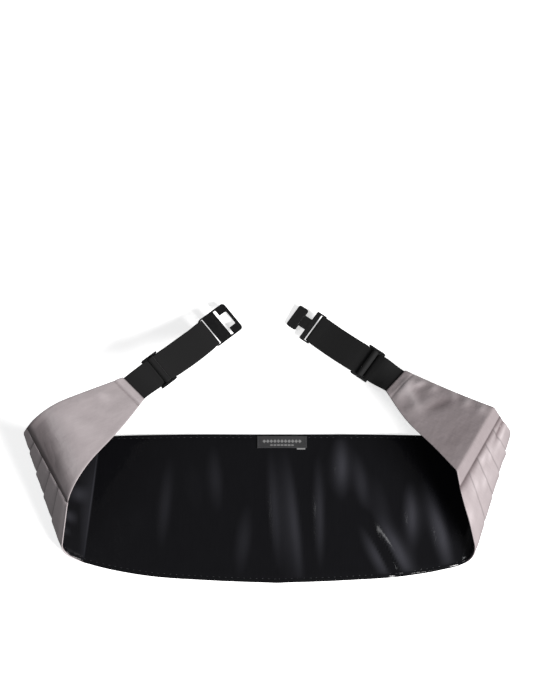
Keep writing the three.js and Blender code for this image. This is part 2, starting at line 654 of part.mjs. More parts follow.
const slotHalf = piece('clasp_slot', claspSlot(), materials.plastic);
const hookHalf = piece('clasp_hook', claspHook(), materials.plastic);
const cummerbund = new THREE.Group();
cummerbund.add(
  piece('front_panel', frontPanel(), materials.greySatin),
  piece('lining', lining(), materials.blackSatin),
  piece('end_piece_left', endPiece('left'), materials.greySatin),
  piece('end_piece_right', endPiece('right'), materials.greySatin),
  piece('label', label(), materials.label),
  strap({
    side: 'left',
    length: SLOT_STRAP_LENGTH,
    swing: LEFT_STRAP_SWING,
    tilt: LEFT_STRAP_TILT,
    claspReach: SLOT_HALF_REACH,
    claspEndWidth: CLASP_WIDTH,
    clasp: slotHalf,
  }),
  strap({
    side: 'right',
    length: HOOK_STRAP_LENGTH,
    swing: RIGHT_STRAP_SWING,
    tilt: RIGHT_STRAP_TILT,
    claspReach: HOOK_HALF_REACH,
    claspEndWidth: HOOK_HEAD_WIDTH,
    clasp: hookHalf,
  }),
);

// The origin goes to the middle of the underside
const box = new THREE.Box3().setFromObject(cummerbund, true);
const middle = box.getCenter(new THREE.Vector3());
cummerbund.position.set(-middle.x, -middle.y, -box.min.z);

export default cummerbund;
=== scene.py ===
# Cummerbund lying lining up, with both ends curled inwards, two elastics and an open clasp.
# The cloth is worked out on a flat pattern and rolled up as the CAD solids are, so every piece
# takes its place from the same sizes. On the pattern x runs along the waist from the middle,
# y runs down from 0 at the top edge, and w goes through the cloth, from the pleated front at 0
# to the lining. Lengths are in metres.
import math
from collections import namedtuple

import bmesh
import bpy
import numpy as np
from bpy.props import FloatProperty, FloatVectorProperty, IntProperty, PointerProperty
from mathutils import Matrix, Vector, noise


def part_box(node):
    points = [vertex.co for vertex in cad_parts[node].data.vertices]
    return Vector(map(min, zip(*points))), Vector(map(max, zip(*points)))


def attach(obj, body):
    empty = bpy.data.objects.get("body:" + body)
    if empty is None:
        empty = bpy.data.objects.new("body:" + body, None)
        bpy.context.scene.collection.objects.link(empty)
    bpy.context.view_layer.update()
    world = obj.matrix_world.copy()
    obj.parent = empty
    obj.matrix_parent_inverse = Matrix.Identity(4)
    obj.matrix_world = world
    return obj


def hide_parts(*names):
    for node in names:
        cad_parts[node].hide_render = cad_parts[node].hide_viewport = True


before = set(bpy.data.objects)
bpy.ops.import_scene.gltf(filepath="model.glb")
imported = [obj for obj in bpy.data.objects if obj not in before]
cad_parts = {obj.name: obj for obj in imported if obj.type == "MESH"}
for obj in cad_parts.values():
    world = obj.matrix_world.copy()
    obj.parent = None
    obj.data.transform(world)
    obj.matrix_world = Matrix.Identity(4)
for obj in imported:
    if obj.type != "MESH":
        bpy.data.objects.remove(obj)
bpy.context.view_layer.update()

bl_info = {
    "name": "Cummerbund",
    "version": (1, 0, 0),
    "blender": (4, 5, 0),
    "location": "3D View > Sidebar > Cummerbund",
    "description": "Builds a cummerbund lying lining up around its CAD frame",
    "category": "Object",
}

UP = np.array([0.0, 0.0, 1.0])
SIDES = ("left", "right")

# The two long edges. along is 0 at the middle, 1 at the seam and 2 at the tip of the end piece,
# and drop is the distance below the line of the top edge, as a share of the panel's depth.
TOP_EDGE = [
    {"along": 0, "drop": 0},
    {"along": 0.35, "drop": 0},
    {"along": 0.65, "drop": 0.016},
    {"along": 1, "drop": 0.08},
    {"along": 1.5, "drop": 0.086},
]
BOTTOM_EDGE = [
    {"along": 0, "drop": 1},
    {"along": 0.235, "drop": 0.983},
    {"along": 0.47, "drop": 0.95},
    {"along": 0.68, "drop": 0.87},
    {"along": 0.83, "drop": 0.77},
    {"along": 1, "drop": 0.67},
    {"along": 1.4, "drop": 0.525},
    {"along": 1.72, "drop": 0.416},
]

# The rolls of each end, from the middle outwards. at is where a roll starts, as a share of the way
# to the seam, lean is how far its line tilts outwards, and turn the angle rolled through, in degrees.
# inside is the lining's radius as a share of the depth, and opening its growth towards the top edge.
ROLLS = {
    "left": [
        {"at": 0.66, "lean": -5.5, "inside": 0.039, "opening": 0, "turn": 26},
        {"at": 0.802, "lean": 19.5, "inside": 0.05, "opening": 0.05, "turn": 93},
        {"at": 0.983, "lean": 3, "inside": 0.227, "opening": 0, "turn": 82.5},
    ],
    "right": [
        {"at": 0.691, "lean": 15, "inside": 0.088, "opening": 0.05, "turn": 126.5},
        {"at": 1.0435, "lean": -0.5, "inside": 0.0075, "opening": 0, "turn": 67},
    ],
}

# One ridge of the cloth. along and drop place its middle, as shares of half the pleated length and
# of the depth, length and width are shares of the depth, and lean is the tilt in degrees of the
# lower end towards +X. A groove has a negative rise.
Ridge = namedtuple("Ridge", "along drop length width lean rise")

# Ripples of the lining. Their rise is a share of the tallest ripple.
RIPPLES = [
    Ridge(0.03, 0.56, 0.42, 0.07, 5, 1),
    Ridge(0.23, 0.24, 0.18, 0.09, 0, 0.8),
    Ridge(0.15, 0.5, 0.3, 0.05, 1, 0.5),
    Ridge(0.37, 0.5, 0.25, 0.07, 12, 0.7),
    Ridge(0.44, 0.8, 0.2, 0.06, 30, 1),
    Ridge(0.49, 0.56, 0.18, 0.07, 0, 0.8),
    Ridge(0.58, 0.7, 0.22, 0.06, 12, 0.8),
    Ridge(-0.3, 0.35, 0.3, 0.12, 8, 0.4),
    Ridge(-0.5, 0.6, 0.35, 0.12, -8, 0.35),
]

# Finer creases of the lining. Their rise is a share of the tallest ripple too.
CREASES = [
    Ridge(-0.012, 0.50, 0.30, 0.030, 4, 0.48),
    Ridge(0.062, 0.62, 0.34, 0.032, 6, 0.51),
    Ridge(0.229, 0.21, 0.15, 0.041, 0, 0.77),
    Ridge(0.149, 0.55, 0.28, 0.027, 1, 0.51),
    Ridge(0.386, 0.81, 0.19, 0.035, 27, -1.61),
    Ridge(0.355, 0.83, 0.17, 0.043, 27, 0.94),
    Ridge(0.418, 0.79, 0.17, 0.043, 27, 1.02),
    Ridge(0.475, 0.55, 0.15, 0.035, 1, 0.85),
    Ridge(0.573, 0.63, 0.23, 0.041, 13, 1.02),
    Ridge(0.30, 0.34, 0.16, 0.041, 8, 0.51),
    Ridge(-0.12, 0.72, 0.22, 0.054, -6, 0.37),
    Ridge(-0.22, 0.30, 0.20, 0.047, 5, 0.34),
    Ridge(-0.40, 0.48, 0.26, 0.041, -4, 0.37),
]

# Painted highlight streaks where the lining curls up at the left. Their rise is how light they are
# painted.
PAINTED_STREAKS = [
    Ridge(-0.668, 0.46, 0.38, 0.012, -6, 0.90),
    Ridge(-0.735, 0.50, 0.28, 0.020, -20, 0.80),
]

# Folds and puckers of the end pieces, counted outwards from the middle. Their rise is in metres.
# It also sets the painted highlight or shade over each one.
FLAP_FOLDS = {
    "left": [
        Ridge(1.035, 0.32, 0.38, 0.085, -14, -0.0012),
        Ridge(1.320, 0.14, 0.07, 0.030, 20, 0.0005),
        Ridge(1.250, 0.10, 0.06, 0.030, -10, 0.0004),
        Ridge(1.180, 0.26, 0.16, 0.060, 30, 0.0004),
    ],
    "right": [
        Ridge(1.372, 0.18, 0.13, 0.045, 5, 0.0016),
        Ridge(1.330, 0.10, 0.06, 0.024, 30, 0.0015),
        Ridge(1.335, 0.24, 0.09, 0.030, -50, 0.0011),
        Ridge(1.278, 0.09, 0.05, 0.024, 20, 0.0015),
        Ridge(1.205, 0.09, 0.05, 0.026, -10, 0.0014),
        Ridge(1.235, 0.22, 0.12, 0.036, 40, -0.0008),
        Ridge(1.150, 0.10, 0.05, 0.028, 5, 0.0013),
        Ridge(1.090, 0.11, 0.05, 0.028, 0, 0.0012),
        Ridge(1.290, 0.30, 0.12, 0.050, 30, 0.0007),
        Ridge(1.120, 0.40, 0.20, 0.090, 20, -0.0003),
    ],
}

# Puckers of the pleated front beside the seams, in the same measures; their rise also sets the painted
# highlight or shade over each one
FRONT_FOLDS = {
    "left": [
        Ridge(0.930, 0.45, 0.12, 0.030, -10, 0.0004),
        Ridge(0.900, 0.75, 0.10, 0.030, 5, 0.0004),
    ],
    "right": [
        Ridge(0.966, 0.13, 0.08, 0.020, -14, -0.0020),
        Ridge(0.948, 0.15, 0.09, 0.026, -18, 0.0008),
        Ridge(0.960, 0.36, 0.10, 0.022, 30, 0.0007),
        Ridge(0.915, 0.52, 0.13, 0.035, 25, 0.0006),
        Ridge(0.950, 0.60, 0.08, 0.018, 10, -0.0006),
        Ridge(0.880, 0.78, 0.13, 0.040, 20, 0.0006),
    ],
}

# Painted light and shade of the satin, from -1 to 1, over the end pieces, in the hem at their tips
# and over the curled ends of the pleated front: how much lighter or darker its colour is painted
FLAP_PAINTED_LIGHT = {"left": 0.28, "right": -0.32}
HEM_PAINTED_LIGHT = {"left": 0.25, "right": 0.04}
STRIP_PAINTED_LIGHT = {"left": 0.80, "right": -0.12}

# How far the hem at an end piece's tip stands out, in metres
HEM_RELIEF = {"left": 0.0009, "right": 0.0002}

# How much painted shade darkens the satin in the seam between an end piece and the pleats
SEAM_SHADE = 0.6

# Rise in metres of a fold or pucker at which its painted highlight is lightest
BRIGHT_FOLD = 0.0018
BRIGHT_PUCKER = 0.0012

# How far each pleat's free edge stands open at the curled ends, from the top pleat down, in metres
PLEAT_GAPES = {
    "left": [0, 0.0004, 0.0006, 0.0005, 0.0003],
    "right": [0, 0.0010, 0.0006, 0.0004, 0.0003],
}

# The lights: the setting that holds each one's power, its place and size in metres, and its colour
LIGHTS = [
    {"name": "RightLight", "power": "key_power", "place": (0.99, -0.80, 0.96), "size": (0.7, 0.6),
     "tone": (1.0, 0.99, 0.985)},
    {"name": "LeftLight", "power": "fill_power", "place": (-0.90, 0.05, 1.20), "size": (0.5, 0.7),
     "tone": (0.98, 0.99, 1.0)},
]


def length(name, description, default):
    return FloatProperty(name=name, description=description, default=default, min=0, step=0.01,
                         precision=5, subtype="DISTANCE", unit="LENGTH")


def share(name, description, default):
    return FloatProperty(name=name, description=description, default=default, min=0, max=1,
                         subtype="FACTOR")


def angle(name, description, degrees):
    return FloatProperty(name=name, description=description, default=math.radians(degrees),
                         subtype="ANGLE", unit="ROTATION")


def power(name, description, default):
    return FloatProperty(name=name, description=description, default=default, min=0, unit="POWER")


def strength(name, description, default):
    return FloatProperty(name=name, description=description, default=default, min=0)


def colour(name, description, default):
    return FloatVectorProperty(name=name, description=description, default=default, size=3,
                               min=0, max=1, subtype="COLOR")


class ClothSizes(bpy.types.PropertyGroup):
    """Sizes of the cut cloth"""
    pleated_length: length("Pleated length", "From seam to seam along the pleated front", 0.468)
    depth: length("Depth", "From the top edge to the bottom edge, in the middle", 0.127)
    left_end: length("Left end piece", "From the left seam to the end of its end piece", 0.103)
    right_end: length("Right end piece", "From the right seam to the end of its end piece", 0.098)
    tip: length("Tip", "Width of an end piece where the elastic leaves it", 0.026)
    left_drop: length("Left tip drop", "From the top edge's line to the tip's middle", 0.0255)
    right_drop: length("Right tip drop", "From the top edge's line to the tip's middle", 0.0215)
    left_rise: angle("Left strap rise", "Angle at which the left elastic turns up", 14.5)
    right_rise: angle("Right strap rise", "Angle at which the right elastic turns up", 11.5)
    pleats: IntProperty(name="Pleats", description="Number of pleats", default=5, min=1)
    pleat_step: length("Pleat step", "Height of a pleat's free edge above the next", 0.0008)
    pleat_fold: length("Pleat fold", "How far each pleat reaches under the next", 0.0052)
    front_cloth: length("Front", "Thickness of the front with its backing", 0.001)
    satin: length("Satin", "Thickness of one layer of the front's satin", 0.0003)
    end_cloth: length("End piece cloth", "Thickness of an end piece", 0.0012)
    lining_cloth: length("Lining cloth", "Thickness of the lining at its turned edge", 0.001)
    lining_inset: length("Rim", "Rim of the front that shows past the lining at the curled ends", 0.0012)
    middle_inset: length("Middle rim", "Rim of the front along the middle of the panel", 0.0003)
    inset_start: share("Rim start", "Where the rim begins to widen, on the way to the seam", 0.6)
    inset_end: share("Rim end", "Where the rim has its full width", 0.8)
    front_tuck: length("Front tuck", "How far the front draws back under the lining", 0.0009)
    edge_drape: length("Edge drape", "How far the lining's edge comes down over the front", 0.0013)
    stitch_line: length("Stitch line", "From the lining's edge to its stitches", 0.003)
    ripple: length("Ripple", "Height of the tallest ripple of the lining", 0.0014)
    layer_gap: length("Layer gap", "Between cloths that lie on each other", 0.0003)
    seam_gap: length("Seam gap", "Between pieces that are sewn edge to edge", 0.0003)
    hem: length("End hem", "Depth of the hem at the end pieces' tips", 0.0078)
    label_length: length("Label length", "Length of the label", 0.042)
    label_width: length("Label width", "Width of the label", 0.0105)
    label_shift: length("Label shift", "From the panel's middle to the label's", 0.0043)
    label_margin: length("Label margin", "From the top edge to the label", 0.002)


class FittingSizes(bpy.types.PropertyGroup):
    """Sizes of the elastics, the sliders and the clasp"""
    elastic_width: length("Elastic width", "Width of an elastic", 0.025)
    elastic_spread: share("Elastic spread", "Extra width of the elastic between its fittings", 0.045)
    elastic: length("Elastic thickness", "Thickness of an elastic", 0.001)
    slot_strap: length("Left strap", "From the left end piece to the clasp's outer edge", 0.119)
    hook_strap: length("Right strap", "From the right end piece to the hook's end", 0.1128)
    left_swing: angle("Left swing", "About the vertical, from the way that the left tip points", -1.1)
    right_swing: angle("Right swing", "About the vertical, from the way that the right tip points", -0.7)
    left_tilt: angle("Left tilt", "How far the left strap leans sideways", 10.5)
    right_tilt: angle("Right tilt", "How far the right strap leans sideways", -9)
    twist_length: length("Twist length", "Over which an elastic turns to its strap's lean", 0.020)
    slider_reach: length("Slider reach", "From an end piece to the middle of its slider", 0.030)
    slider_length: length("Slider length", "Along the strap", 0.016)
    slider_width: length("Slider width", "Across the strap", 0.029)
    slider_thickness: length("Slider thickness", "Thickness of a slider", 0.0012)
    slider_end_bar: length("End bar", "Width of a slider's end bars", 0.002)
    slider_middle_bar: length("Middle bar", "Width of a slider's middle bar", 0.0028)
    slider_arch: length("Slider arch", "Rise of the middle bar", 0.0018)
    slider_rail: length("Slider rail", "Height of the rails that join the bars", 0.0034)
    clasp_width: length("Clasp width", "Across the strap", 0.028)
    clasp_thickness: length("Clasp thickness", "Thickness of the clasp's plates", 0.0022)
    clasp_corner: length("Clasp corner", "Radius of the outer corners", 0.003)
    clasp_slit: length("Clasp slit", "Opening that the elastic goes through", 0.0038)
    clasp_bar: length("Clasp bar", "Width of the bar that the elastic turns round", 0.002)
    clasp_bridge: length("Bridge", "Between the slit and the T-shaped opening", 0.0118)
    cross_length: length("Cross slot length", "Opening's width at the bridge", 0.0252)
    cross_width: length("Cross slot width", "Opening's width along the strap", 0.004)
    stem_width: length("Stem slot width", "Width of the opening's stem", 0.0134)
    stem_length: length("Stem slot length", "Length of the opening's stem", 0.0078)
    outer_frame: length("Outer frame", "Bar at the clasp's outer end", 0.0021)
    head_width: length("Head width", "Width of the hook's head", 0.0208)
    head_length: length("Head length", "Length of the hook's head", 0.0094)
    head_corner: length("Head corner", "Radius of the head's corners", 0.0018)
    neck_width: length("Neck width", "Width of the hook's neck", 0.0104)
    neck_length: length("Neck length", "Length of the hook's neck", 0.0082)
    shoulder: length("Shoulder", "Between the neck and the slit", 0.004)
    loop_spread: length("Loop spread", "Over which the layers part at the clasp", 0.012)
    bar_clearance: length("Bar clearance", "Between an elastic and a bar", 0.0003)
    side_clearance: length("Side clearance", "Between an elastic's edge and a fitting", 0.0004)
    table_clearance: length("Table clearance", "Under the clasp's lowest corner", 0.0001)
    edge_round: length("Edge rounding", "Radius of the moulded edges", 0.00035)


class FinishColours(bpy.types.PropertyGroup):
    """Colours of the cloths, the elastic, the plastic and the threads"""
    front_satin: colour("Front satin", "Silver-grey satin", (0.27, 0.244, 0.249))
    lining_satin: colour("Lining satin", "Black satin", (0.0040, 0.0040, 0.0048))
    elastic: colour("Elastic", "Black elastic", (0.0042, 0.0042, 0.0044))
    plastic: colour("Plastic", "Black plastic", (0.0035, 0.0035, 0.0038))
    label: colour("Label ground", "Black woven label", (0.010, 0.010, 0.011))
    label_thread: colour("Label thread", "Pale thread of the label's pattern", (0.17, 0.17, 0.17))
    dark_thread: colour("Dark thread", "Thread of the lining's edge", (0.02, 0.02, 0.025))


class StageSettings(bpy.types.PropertyGroup):
    """Camera, lights and floor"""
    elevation: angle("Camera elevation", "Angle of the camera above the floor", 72.3)
    distance: length("Camera distance", "From the pattern's origin to the camera", 1.5)
    camera_left: length("Camera to the left", "How far the camera is moved left", 0.00627)
    camera_up: length("Camera up", "How far the camera is moved up in its own plane", 0.07695)
    lens: FloatProperty(name="Lens", description="Focal length in millimetres", default=92.6, min=1)
    floor: colour("Floor", "Colour of the floor", (0.93, 0.93, 0.93))
    key_power: power("Key light", "Power of the light on the right", 56)
    fill_power: power("Fill light", "Power of the light on the left", 5.5)
    ambient: strength("Ambient", "Strength of the surrounding light", 0.07)
    floor_glow: strength("Floor glow", "Strength of the floor's own light", 0.60)


def cloth_sizes():
    return bpy.context.scene.cummerbund_cloth


def fitting_sizes():
    return bpy.context.scene.cummerbund_fittings


def colours():
    return bpy.context.scene.cummerbund_colours


# The flat pattern and its rolls

def unit(vector):
    return vector / np.linalg.norm(vector)


def smooth(share):
    share = np.clip(share, 0, 1)
    return share * share * (3 - 2 * share)


def curve_through(points):
    """A smooth curve y(x) through a few points, with the slope at each taken from its neighbours."""
    xs, ys = np.array(points, float).T
    here = np.arange(len(xs))
    before, after = np.maximum(here - 1, 0), np.minimum(here + 1, len(xs) - 1)
    slopes = (ys[after] - ys[before]) / (xs[after] - xs[before])

    def curve(x):
        i = np.clip(np.searchsorted(xs, x, side="right") - 1, 0, len(xs) - 2)
        span, rise = xs[i + 1] - xs[i], ys[i + 1] - ys[i]
        t = (x - xs[i]) / span
        bend = (1 - t) * (slopes[i] * span - rise) - t * (slopes[i + 1] * span - rise)
        return ys[i] + t * rise + t * (1 - t) * bend

    return curve


def turned(points, centre, axis, angles):
    arm = points - centre
    cos, sin = np.cos(angles)[:, None], np.sin(angles)[:, None]
    return centre + arm * cos + np.cross(axis, arm) * sin + np.outer(arm @ axis, axis) * (1 - cos)


class Roll:
    """One roll of the cloth: a cylinder about a line above it, or a cone where it opens out."""

    def __init__(self, cloth, at, lean, inside, opening, turn):
        lean = math.radians(lean)
        self.along = np.array([math.sin(lean), math.cos(lean), 0])
        self.out = np.array([self.along[1], -self.along[0], 0])
        self.start = np.array([at * cloth.seam, -cloth.depth / 2, 0])
        self.radius = cloth.lining_inside + inside * cloth.depth
        self.turn = math.radians(turn)
        self.cone = math.atan(opening)
        if opening:
            self.apex = self.start - self.along * self.radius / opening
            ending = turned(self.along[None], np.zeros(3), UP,
                            np.array([-self.turn * math.sin(self.cone)]))[0]
            self.lines = [cloth.line(self.apex, self.along), cloth.line(self.apex, ending)]
        else:
            end = self.start + self.out * self.radius * self.turn
            self.lines = [cloth.line(self.start, self.along), cloth.line(end, self.along)]

    def carry(self, flat, placed):
        """Moves points that stand on the flat points as this roll carries them."""
        if self.cone:
            arm = flat - self.apex
            reached = np.arctan2(arm @ self.out, arm @ self.along) / math.sin(self.cone)
            rolled = np.clip(reached, 0, self.turn)
            placed = turned(placed, self.apex, UP, rolled * math.sin(self.cone))
            axis = self.along * math.cos(self.cone) + UP * math.sin(self.cone)
            return turned(placed, self.apex, axis, -rolled)
        rolled = np.clip((flat - self.start) @ self.out / self.radius, 0, self.turn)
        placed = placed - np.outer(self.radius * rolled, self.out)
        return turned(placed, self.start + UP * self.radius, np.cross(self.out, UP), rolled)


class Cloth:
    """The flat pattern of the cummerbund and the way it is rolled up."""

    def __init__(self, sizes):
        self.sizes = sizes
        self.seam = sizes.pleated_length / 2
        self.depth = sizes.depth
        self.front_inside = sizes.front_cloth + sizes.pleat_step
        self.end_outside = self.front_inside - sizes.end_cloth
        self.lining_outside = self.front_inside + sizes.layer_gap
        self.lining_inside = self.lining_outside + sizes.lining_cloth
        self.halves = {
            "left": self.cut_half(sizes.left_end, sizes.left_drop, sizes.left_rise),
            "right": self.cut_half(sizes.right_end, sizes.right_drop, sizes.right_rise),
        }
        self.rolls = {side: [Roll(self, **row) for row in table] for side, table in ROLLS.items()}
        low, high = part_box("label")
        label_drop = sizes.label_margin + sizes.label_width / 2
        self.origin = np.array([(low.x + high.x) / 2 - sizes.label_shift,
                                (low.y + high.y) / 2 + label_drop, 0])

    def cut_half(self, end_length, drop, rise):
        direction = np.array([math.cos(rise), math.sin(rise)])
        tip = np.array([self.seam + end_length, -drop])
        across = np.array([-direction[1], direction[0]]) * self.sizes.tip / 2
        return {"direction": direction, "tip": tip, "across": across,
                "top": self.edge(TOP_EDGE, tip + across),
                "bottom": self.edge(BOTTOM_EDGE, tip - across)}

    def edge(self, table, corner):
        points = [(min(row["along"], 1) * self.seam
                   + max(row["along"] - 1, 0) * (corner[0] - self.seam),
                   -row["drop"] * self.depth) for row in table]
        return curve_through([*points, tuple(corner)])

    def line(self, point, direction):
        """A line across the cloth, by how far out it crosses the top edge and the deepest edge."""
        return np.array([point[0] + (y - point[1]) * direction[0] / direction[1]
                         for y in (0, -self.depth)])

    def seam_line(self, shift):
        return np.array([self.seam + shift] * 2)

    def tip_line(self, side, shift):
        half = self.halves[side]
        return self.line(half["tip"] + half["direction"] * shift, half["across"])

    def lines_across(self, side, start, end, spacing, bend_step, least=0.0003):
        """Lines across one end from start to end, close together where the cloth is rolled."""
        lines = [start]

        def clear(a, b):
            return bool(np.all(a < b - least))

        def fill(line, count):
            first = lines[-1]
            for i in range(1, count + 1):
                between = first + (line - first) * i / count
                if clear(lines[-1], between) and clear(between, end):
                    lines.append(between)

        for roll in self.rolls[side]:
            first, last = roll.lines
            if clear(start, first) and clear(first, end):
                fill(first, max(1, math.ceil((first[0] - lines[-1][0]) / spacing)))
            count = math.ceil(math.degrees(roll.turn) / bend_step)
            for i in range(count + 1):
                between = first + (last - first) * i / count
                if clear(lines[-1], between) and clear(between, end):
                    lines.append(between)
        first = lines[-1]
        count = max(1, math.ceil((end[0] - first[0]) / spacing))
        lines += [first + (end - first) * i / count for i in range(1, count + 1)]
        return np.array(lines)

    def both_ends(self, left_end, right_end, spacing, bend_step):
        middle = np.zeros(2)
        left = self.lines_across("left", middle, left_end, spacing, bend_step)
        right = self.lines_across("right", middle, right_end, spacing, bend_step)
        return np.vstack([-left[::-1], right[1:]])

    def edges_at(self, x):
        out = np.abs(x)
        left, right = self.halves["left"], self.halves["right"]
        top = np.where(x < 0, left["top"](out), right["top"](out))
        bottom = np.where(x < 0, left["bottom"](out), right["bottom"](out))
        return top, bottom

    def widened(self, x):
        """0 along the middle of the panel and 1 towards the ends, where the front's rim shows."""
        start, end = self.sizes.inset_start, self.sizes.inset_end
        return smooth((np.abs(x) / self.seam - start) / (end - start))

    def lining_inset(self, x):
        middle = self.sizes.middle_inset
        return middle + (self.sizes.lining_inset - middle) * self.widened(x)

    def front_inset(self, x):
        return self.sizes.front_tuck * (1 - self.widened(x))

    def flat_points(self, lines, rows, inset=np.zeros_like):
        """x and y of a grid: rows are (share from the top edge to the bottom, shift down)."""
        share, shift = (np.array(values)[:, None] for values in zip(*rows))
        x = np.repeat(lines.mean(axis=1)[None], len(rows), axis=0)
        for _ in range(6):
            top, bottom = self.edges_at(x)
            rim = inset(x)
            y = (top - rim) * (1 - share) + (bottom + rim) * share - shift
            x = lines[:, 0] + (lines[:, 1] - lines[:, 0]) * -y / self.depth
        return x, y

    def place(self, x, y, w):
        """Where points of the flat cloth end up. The left end is worked out outwards and mirrored."""
        x, y, w = np.broadcast_arrays(x, y, w)
        flat = np.column_stack([np.abs(x).ravel(), y.ravel(), np.zeros(x.size)])
        placed = flat + np.outer(w.ravel(), UP)
        left = (x < 0).ravel()
        for side, here in (("left", left), ("right", ~left)):
            for roll in reversed(self.rolls[side]):
                placed[here] = roll.carry(flat[here], placed[here])
        placed[left, 0] *= -1
        return (placed + self.origin).reshape(*x.shape, 3)


def ridge_height(table, cloth, x, y, tallest):
    """Height of smooth ridges at flat points, each one fading at its ends."""
    height = np.zeros_like(x)
    for row in table:
        lean = math.radians(row.lean)
        dx = x - row.along * cloth.seam
        dy = y + row.drop * cloth.depth
        lengthwise = dx * math.sin(lean) - dy * math.cos(lean)
        sideways = dx * math.cos(lean) + dy * math.sin(lean)
        fade = (lengthwise / (row.length * cloth.depth)) ** 2
        fade += (sideways / (row.width * cloth.depth)) ** 2
        height += tallest * row.rise * np.exp(-fade)
    return height


def soft_noise(x, y, size, seed):
    """Smooth unevenness from -1 to 1, with bumps about size across."""
    points = zip(x.ravel() / size, y.ravel() / size)
    return np.array([noise.noise(Vector((u, v, seed))) for u, v in points]).reshape(x.shape)


# Meshes

def edge_rows(radius, interior):
    """Rows of a sheet with rounded edges: close together at both edges, even between them."""
    near = [0, 0.15 * radius, 0.5 * radius, radius]
    return ([(0, shift) for shift in near] + interior
            + [(1, -shift) for shift in reversed(near)])


def round_share(distance, radius):
    """Share of the full thickness left at a distance from a rounded edge."""
    inward = np.clip(1 - np.asarray(distance) / radius, 0, 1)
    return np.maximum(np.sqrt(1 - inward ** 2), 0.3)


def new_grid(rows, columns):
    """A bmesh grid whose vertices know their place in the rows and columns."""
    bm = bmesh.new()
    index = bm.verts.layers.int.new("index")
    bm.loops.layers.uv.new("flat")
    made = bmesh.ops.create_grid(bm, x_segments=columns - 1, y_segments=rows - 1, size=1)
    if len(made["verts"]) != rows * columns:
        raise RuntimeError("the grid doesn't have a vertex for each row and column")
    for vert in made["verts"]:
        row = round((1 - vert.co.y) / 2 * (rows - 1))
        column = round((vert.co.x + 1) / 2 * (columns - 1))
        vert[index] = row * columns + column
    return bm, index


def lay_grid(verts, index, points):
    flat = points.reshape(-1, 3)
    for vert in verts:
        vert.co = flat[vert[index]]


def write_pattern(bm, index, u, v):
    """Writes each vertex's place on the flat cloth, in metres, to the UV map."""
    flat = bm.loops.layers.uv["flat"]
    us, vs = u.ravel(), v.ravel()
    for face in bm.faces:
        for loop in face.loops:
            place = loop.vert[index]
            loop[flat].uv = (us[place], vs[place])


def write_values(bm, name, values):
    """Gives each vertex of a grid a number that its finish can read."""
    index = bm.verts.layers.int["index"]
    layer = bm.verts.layers.float.new(name)
    flat = values.ravel()
    for vert in bm.verts:
        vert[layer] = flat[vert[index]]


def closed_sheet(outside, inside, u, v):
    """A closed sheet: a grid laid on one face and extruded to the other."""
    rows, columns = u.shape
    bm, index = new_grid(rows, columns)
    lay_grid(bm.verts, index, outside)
    extruded = bmesh.ops.extrude_face_region(bm, geom=bm.faces[:])
    moved = [item for item in extruded["geom"] if isinstance(item, bmesh.types.BMVert)]
    lay_grid(moved, index, inside)
    if any(len(edge.link_faces) != 2 for edge in bm.edges):
        raise RuntimeError("the sheet isn't closed")
    write_pattern(bm, index, u, v)
    bmesh.ops.recalc_face_normals(bm, faces=bm.faces[:])
    return bm


def add_piece(name, bm, material, slot, *nodes):
    """Makes a bmesh a piece of the object that rides on the frame and stands for its nodes."""
    mesh = bpy.data.meshes.new(name)
    bm.to_mesh(mesh)
    bm.free()
    mesh.shade_smooth()
    mesh.materials.append(material)
    piece = bpy.data.objects.new(name, mesh)
    bpy.context.scene.collection.objects.link(piece)
    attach(piece, "root")
    if nodes:
        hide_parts(*nodes)
    return piece


def flat_area(u, v):
    """Area of a grid on the flat cloth."""
    du = (u[:-1, 1:] - u[:-1, :-1] + u[1:, 1:] - u[1:, :-1]) / 2
    dv = (v[1:, :-1] - v[:-1, :-1] + v[1:, 1:] - v[:-1, 1:]) / 2
    return float(np.abs(du * dv).sum())


# Finishes

class Amount:
    """A number in a node tree that can be used in sums."""

    def __init__(self, finish, socket):
        self.finish, self.socket = finish, socket

    def math(self, operation, *others):
        inputs = [other.socket if isinstance(other, Amount) else other for other in others]
        return self.finish.node("ShaderNodeMath", {"operation": operation},
                                {i: value for i, value in enumerate([self.socket, *inputs])})

    def reflected(self, operation, other):
        return self.finish.node("ShaderNodeMath", {"operation": operation},
                                {0: other, 1: self.socket})

    def __add__(self, other): return self.math("ADD", other)
    def __radd__(self, other): return self.reflected("ADD", other)
    def __sub__(self, other): return self.math("SUBTRACT", other)
    def __rsub__(self, other): return self.reflected("SUBTRACT", other)
    def __mul__(self, other): return self.math("MULTIPLY", other)
    def __rmul__(self, other): return self.reflected("MULTIPLY", other)
    def __truediv__(self, other): return self.math("DIVIDE", other)
    def __rtruediv__(self, other): return self.reflected("DIVIDE", other)
    def __abs__(self): return self.math("ABSOLUTE")
    def __lt__(self, other): return self.math("LESS_THAN", other)
    def fraction(self): return self.math("FRACT")
    def sine(self): return self.math("SINE")
    def maximum(self, other): return self.math("MAXIMUM", other)


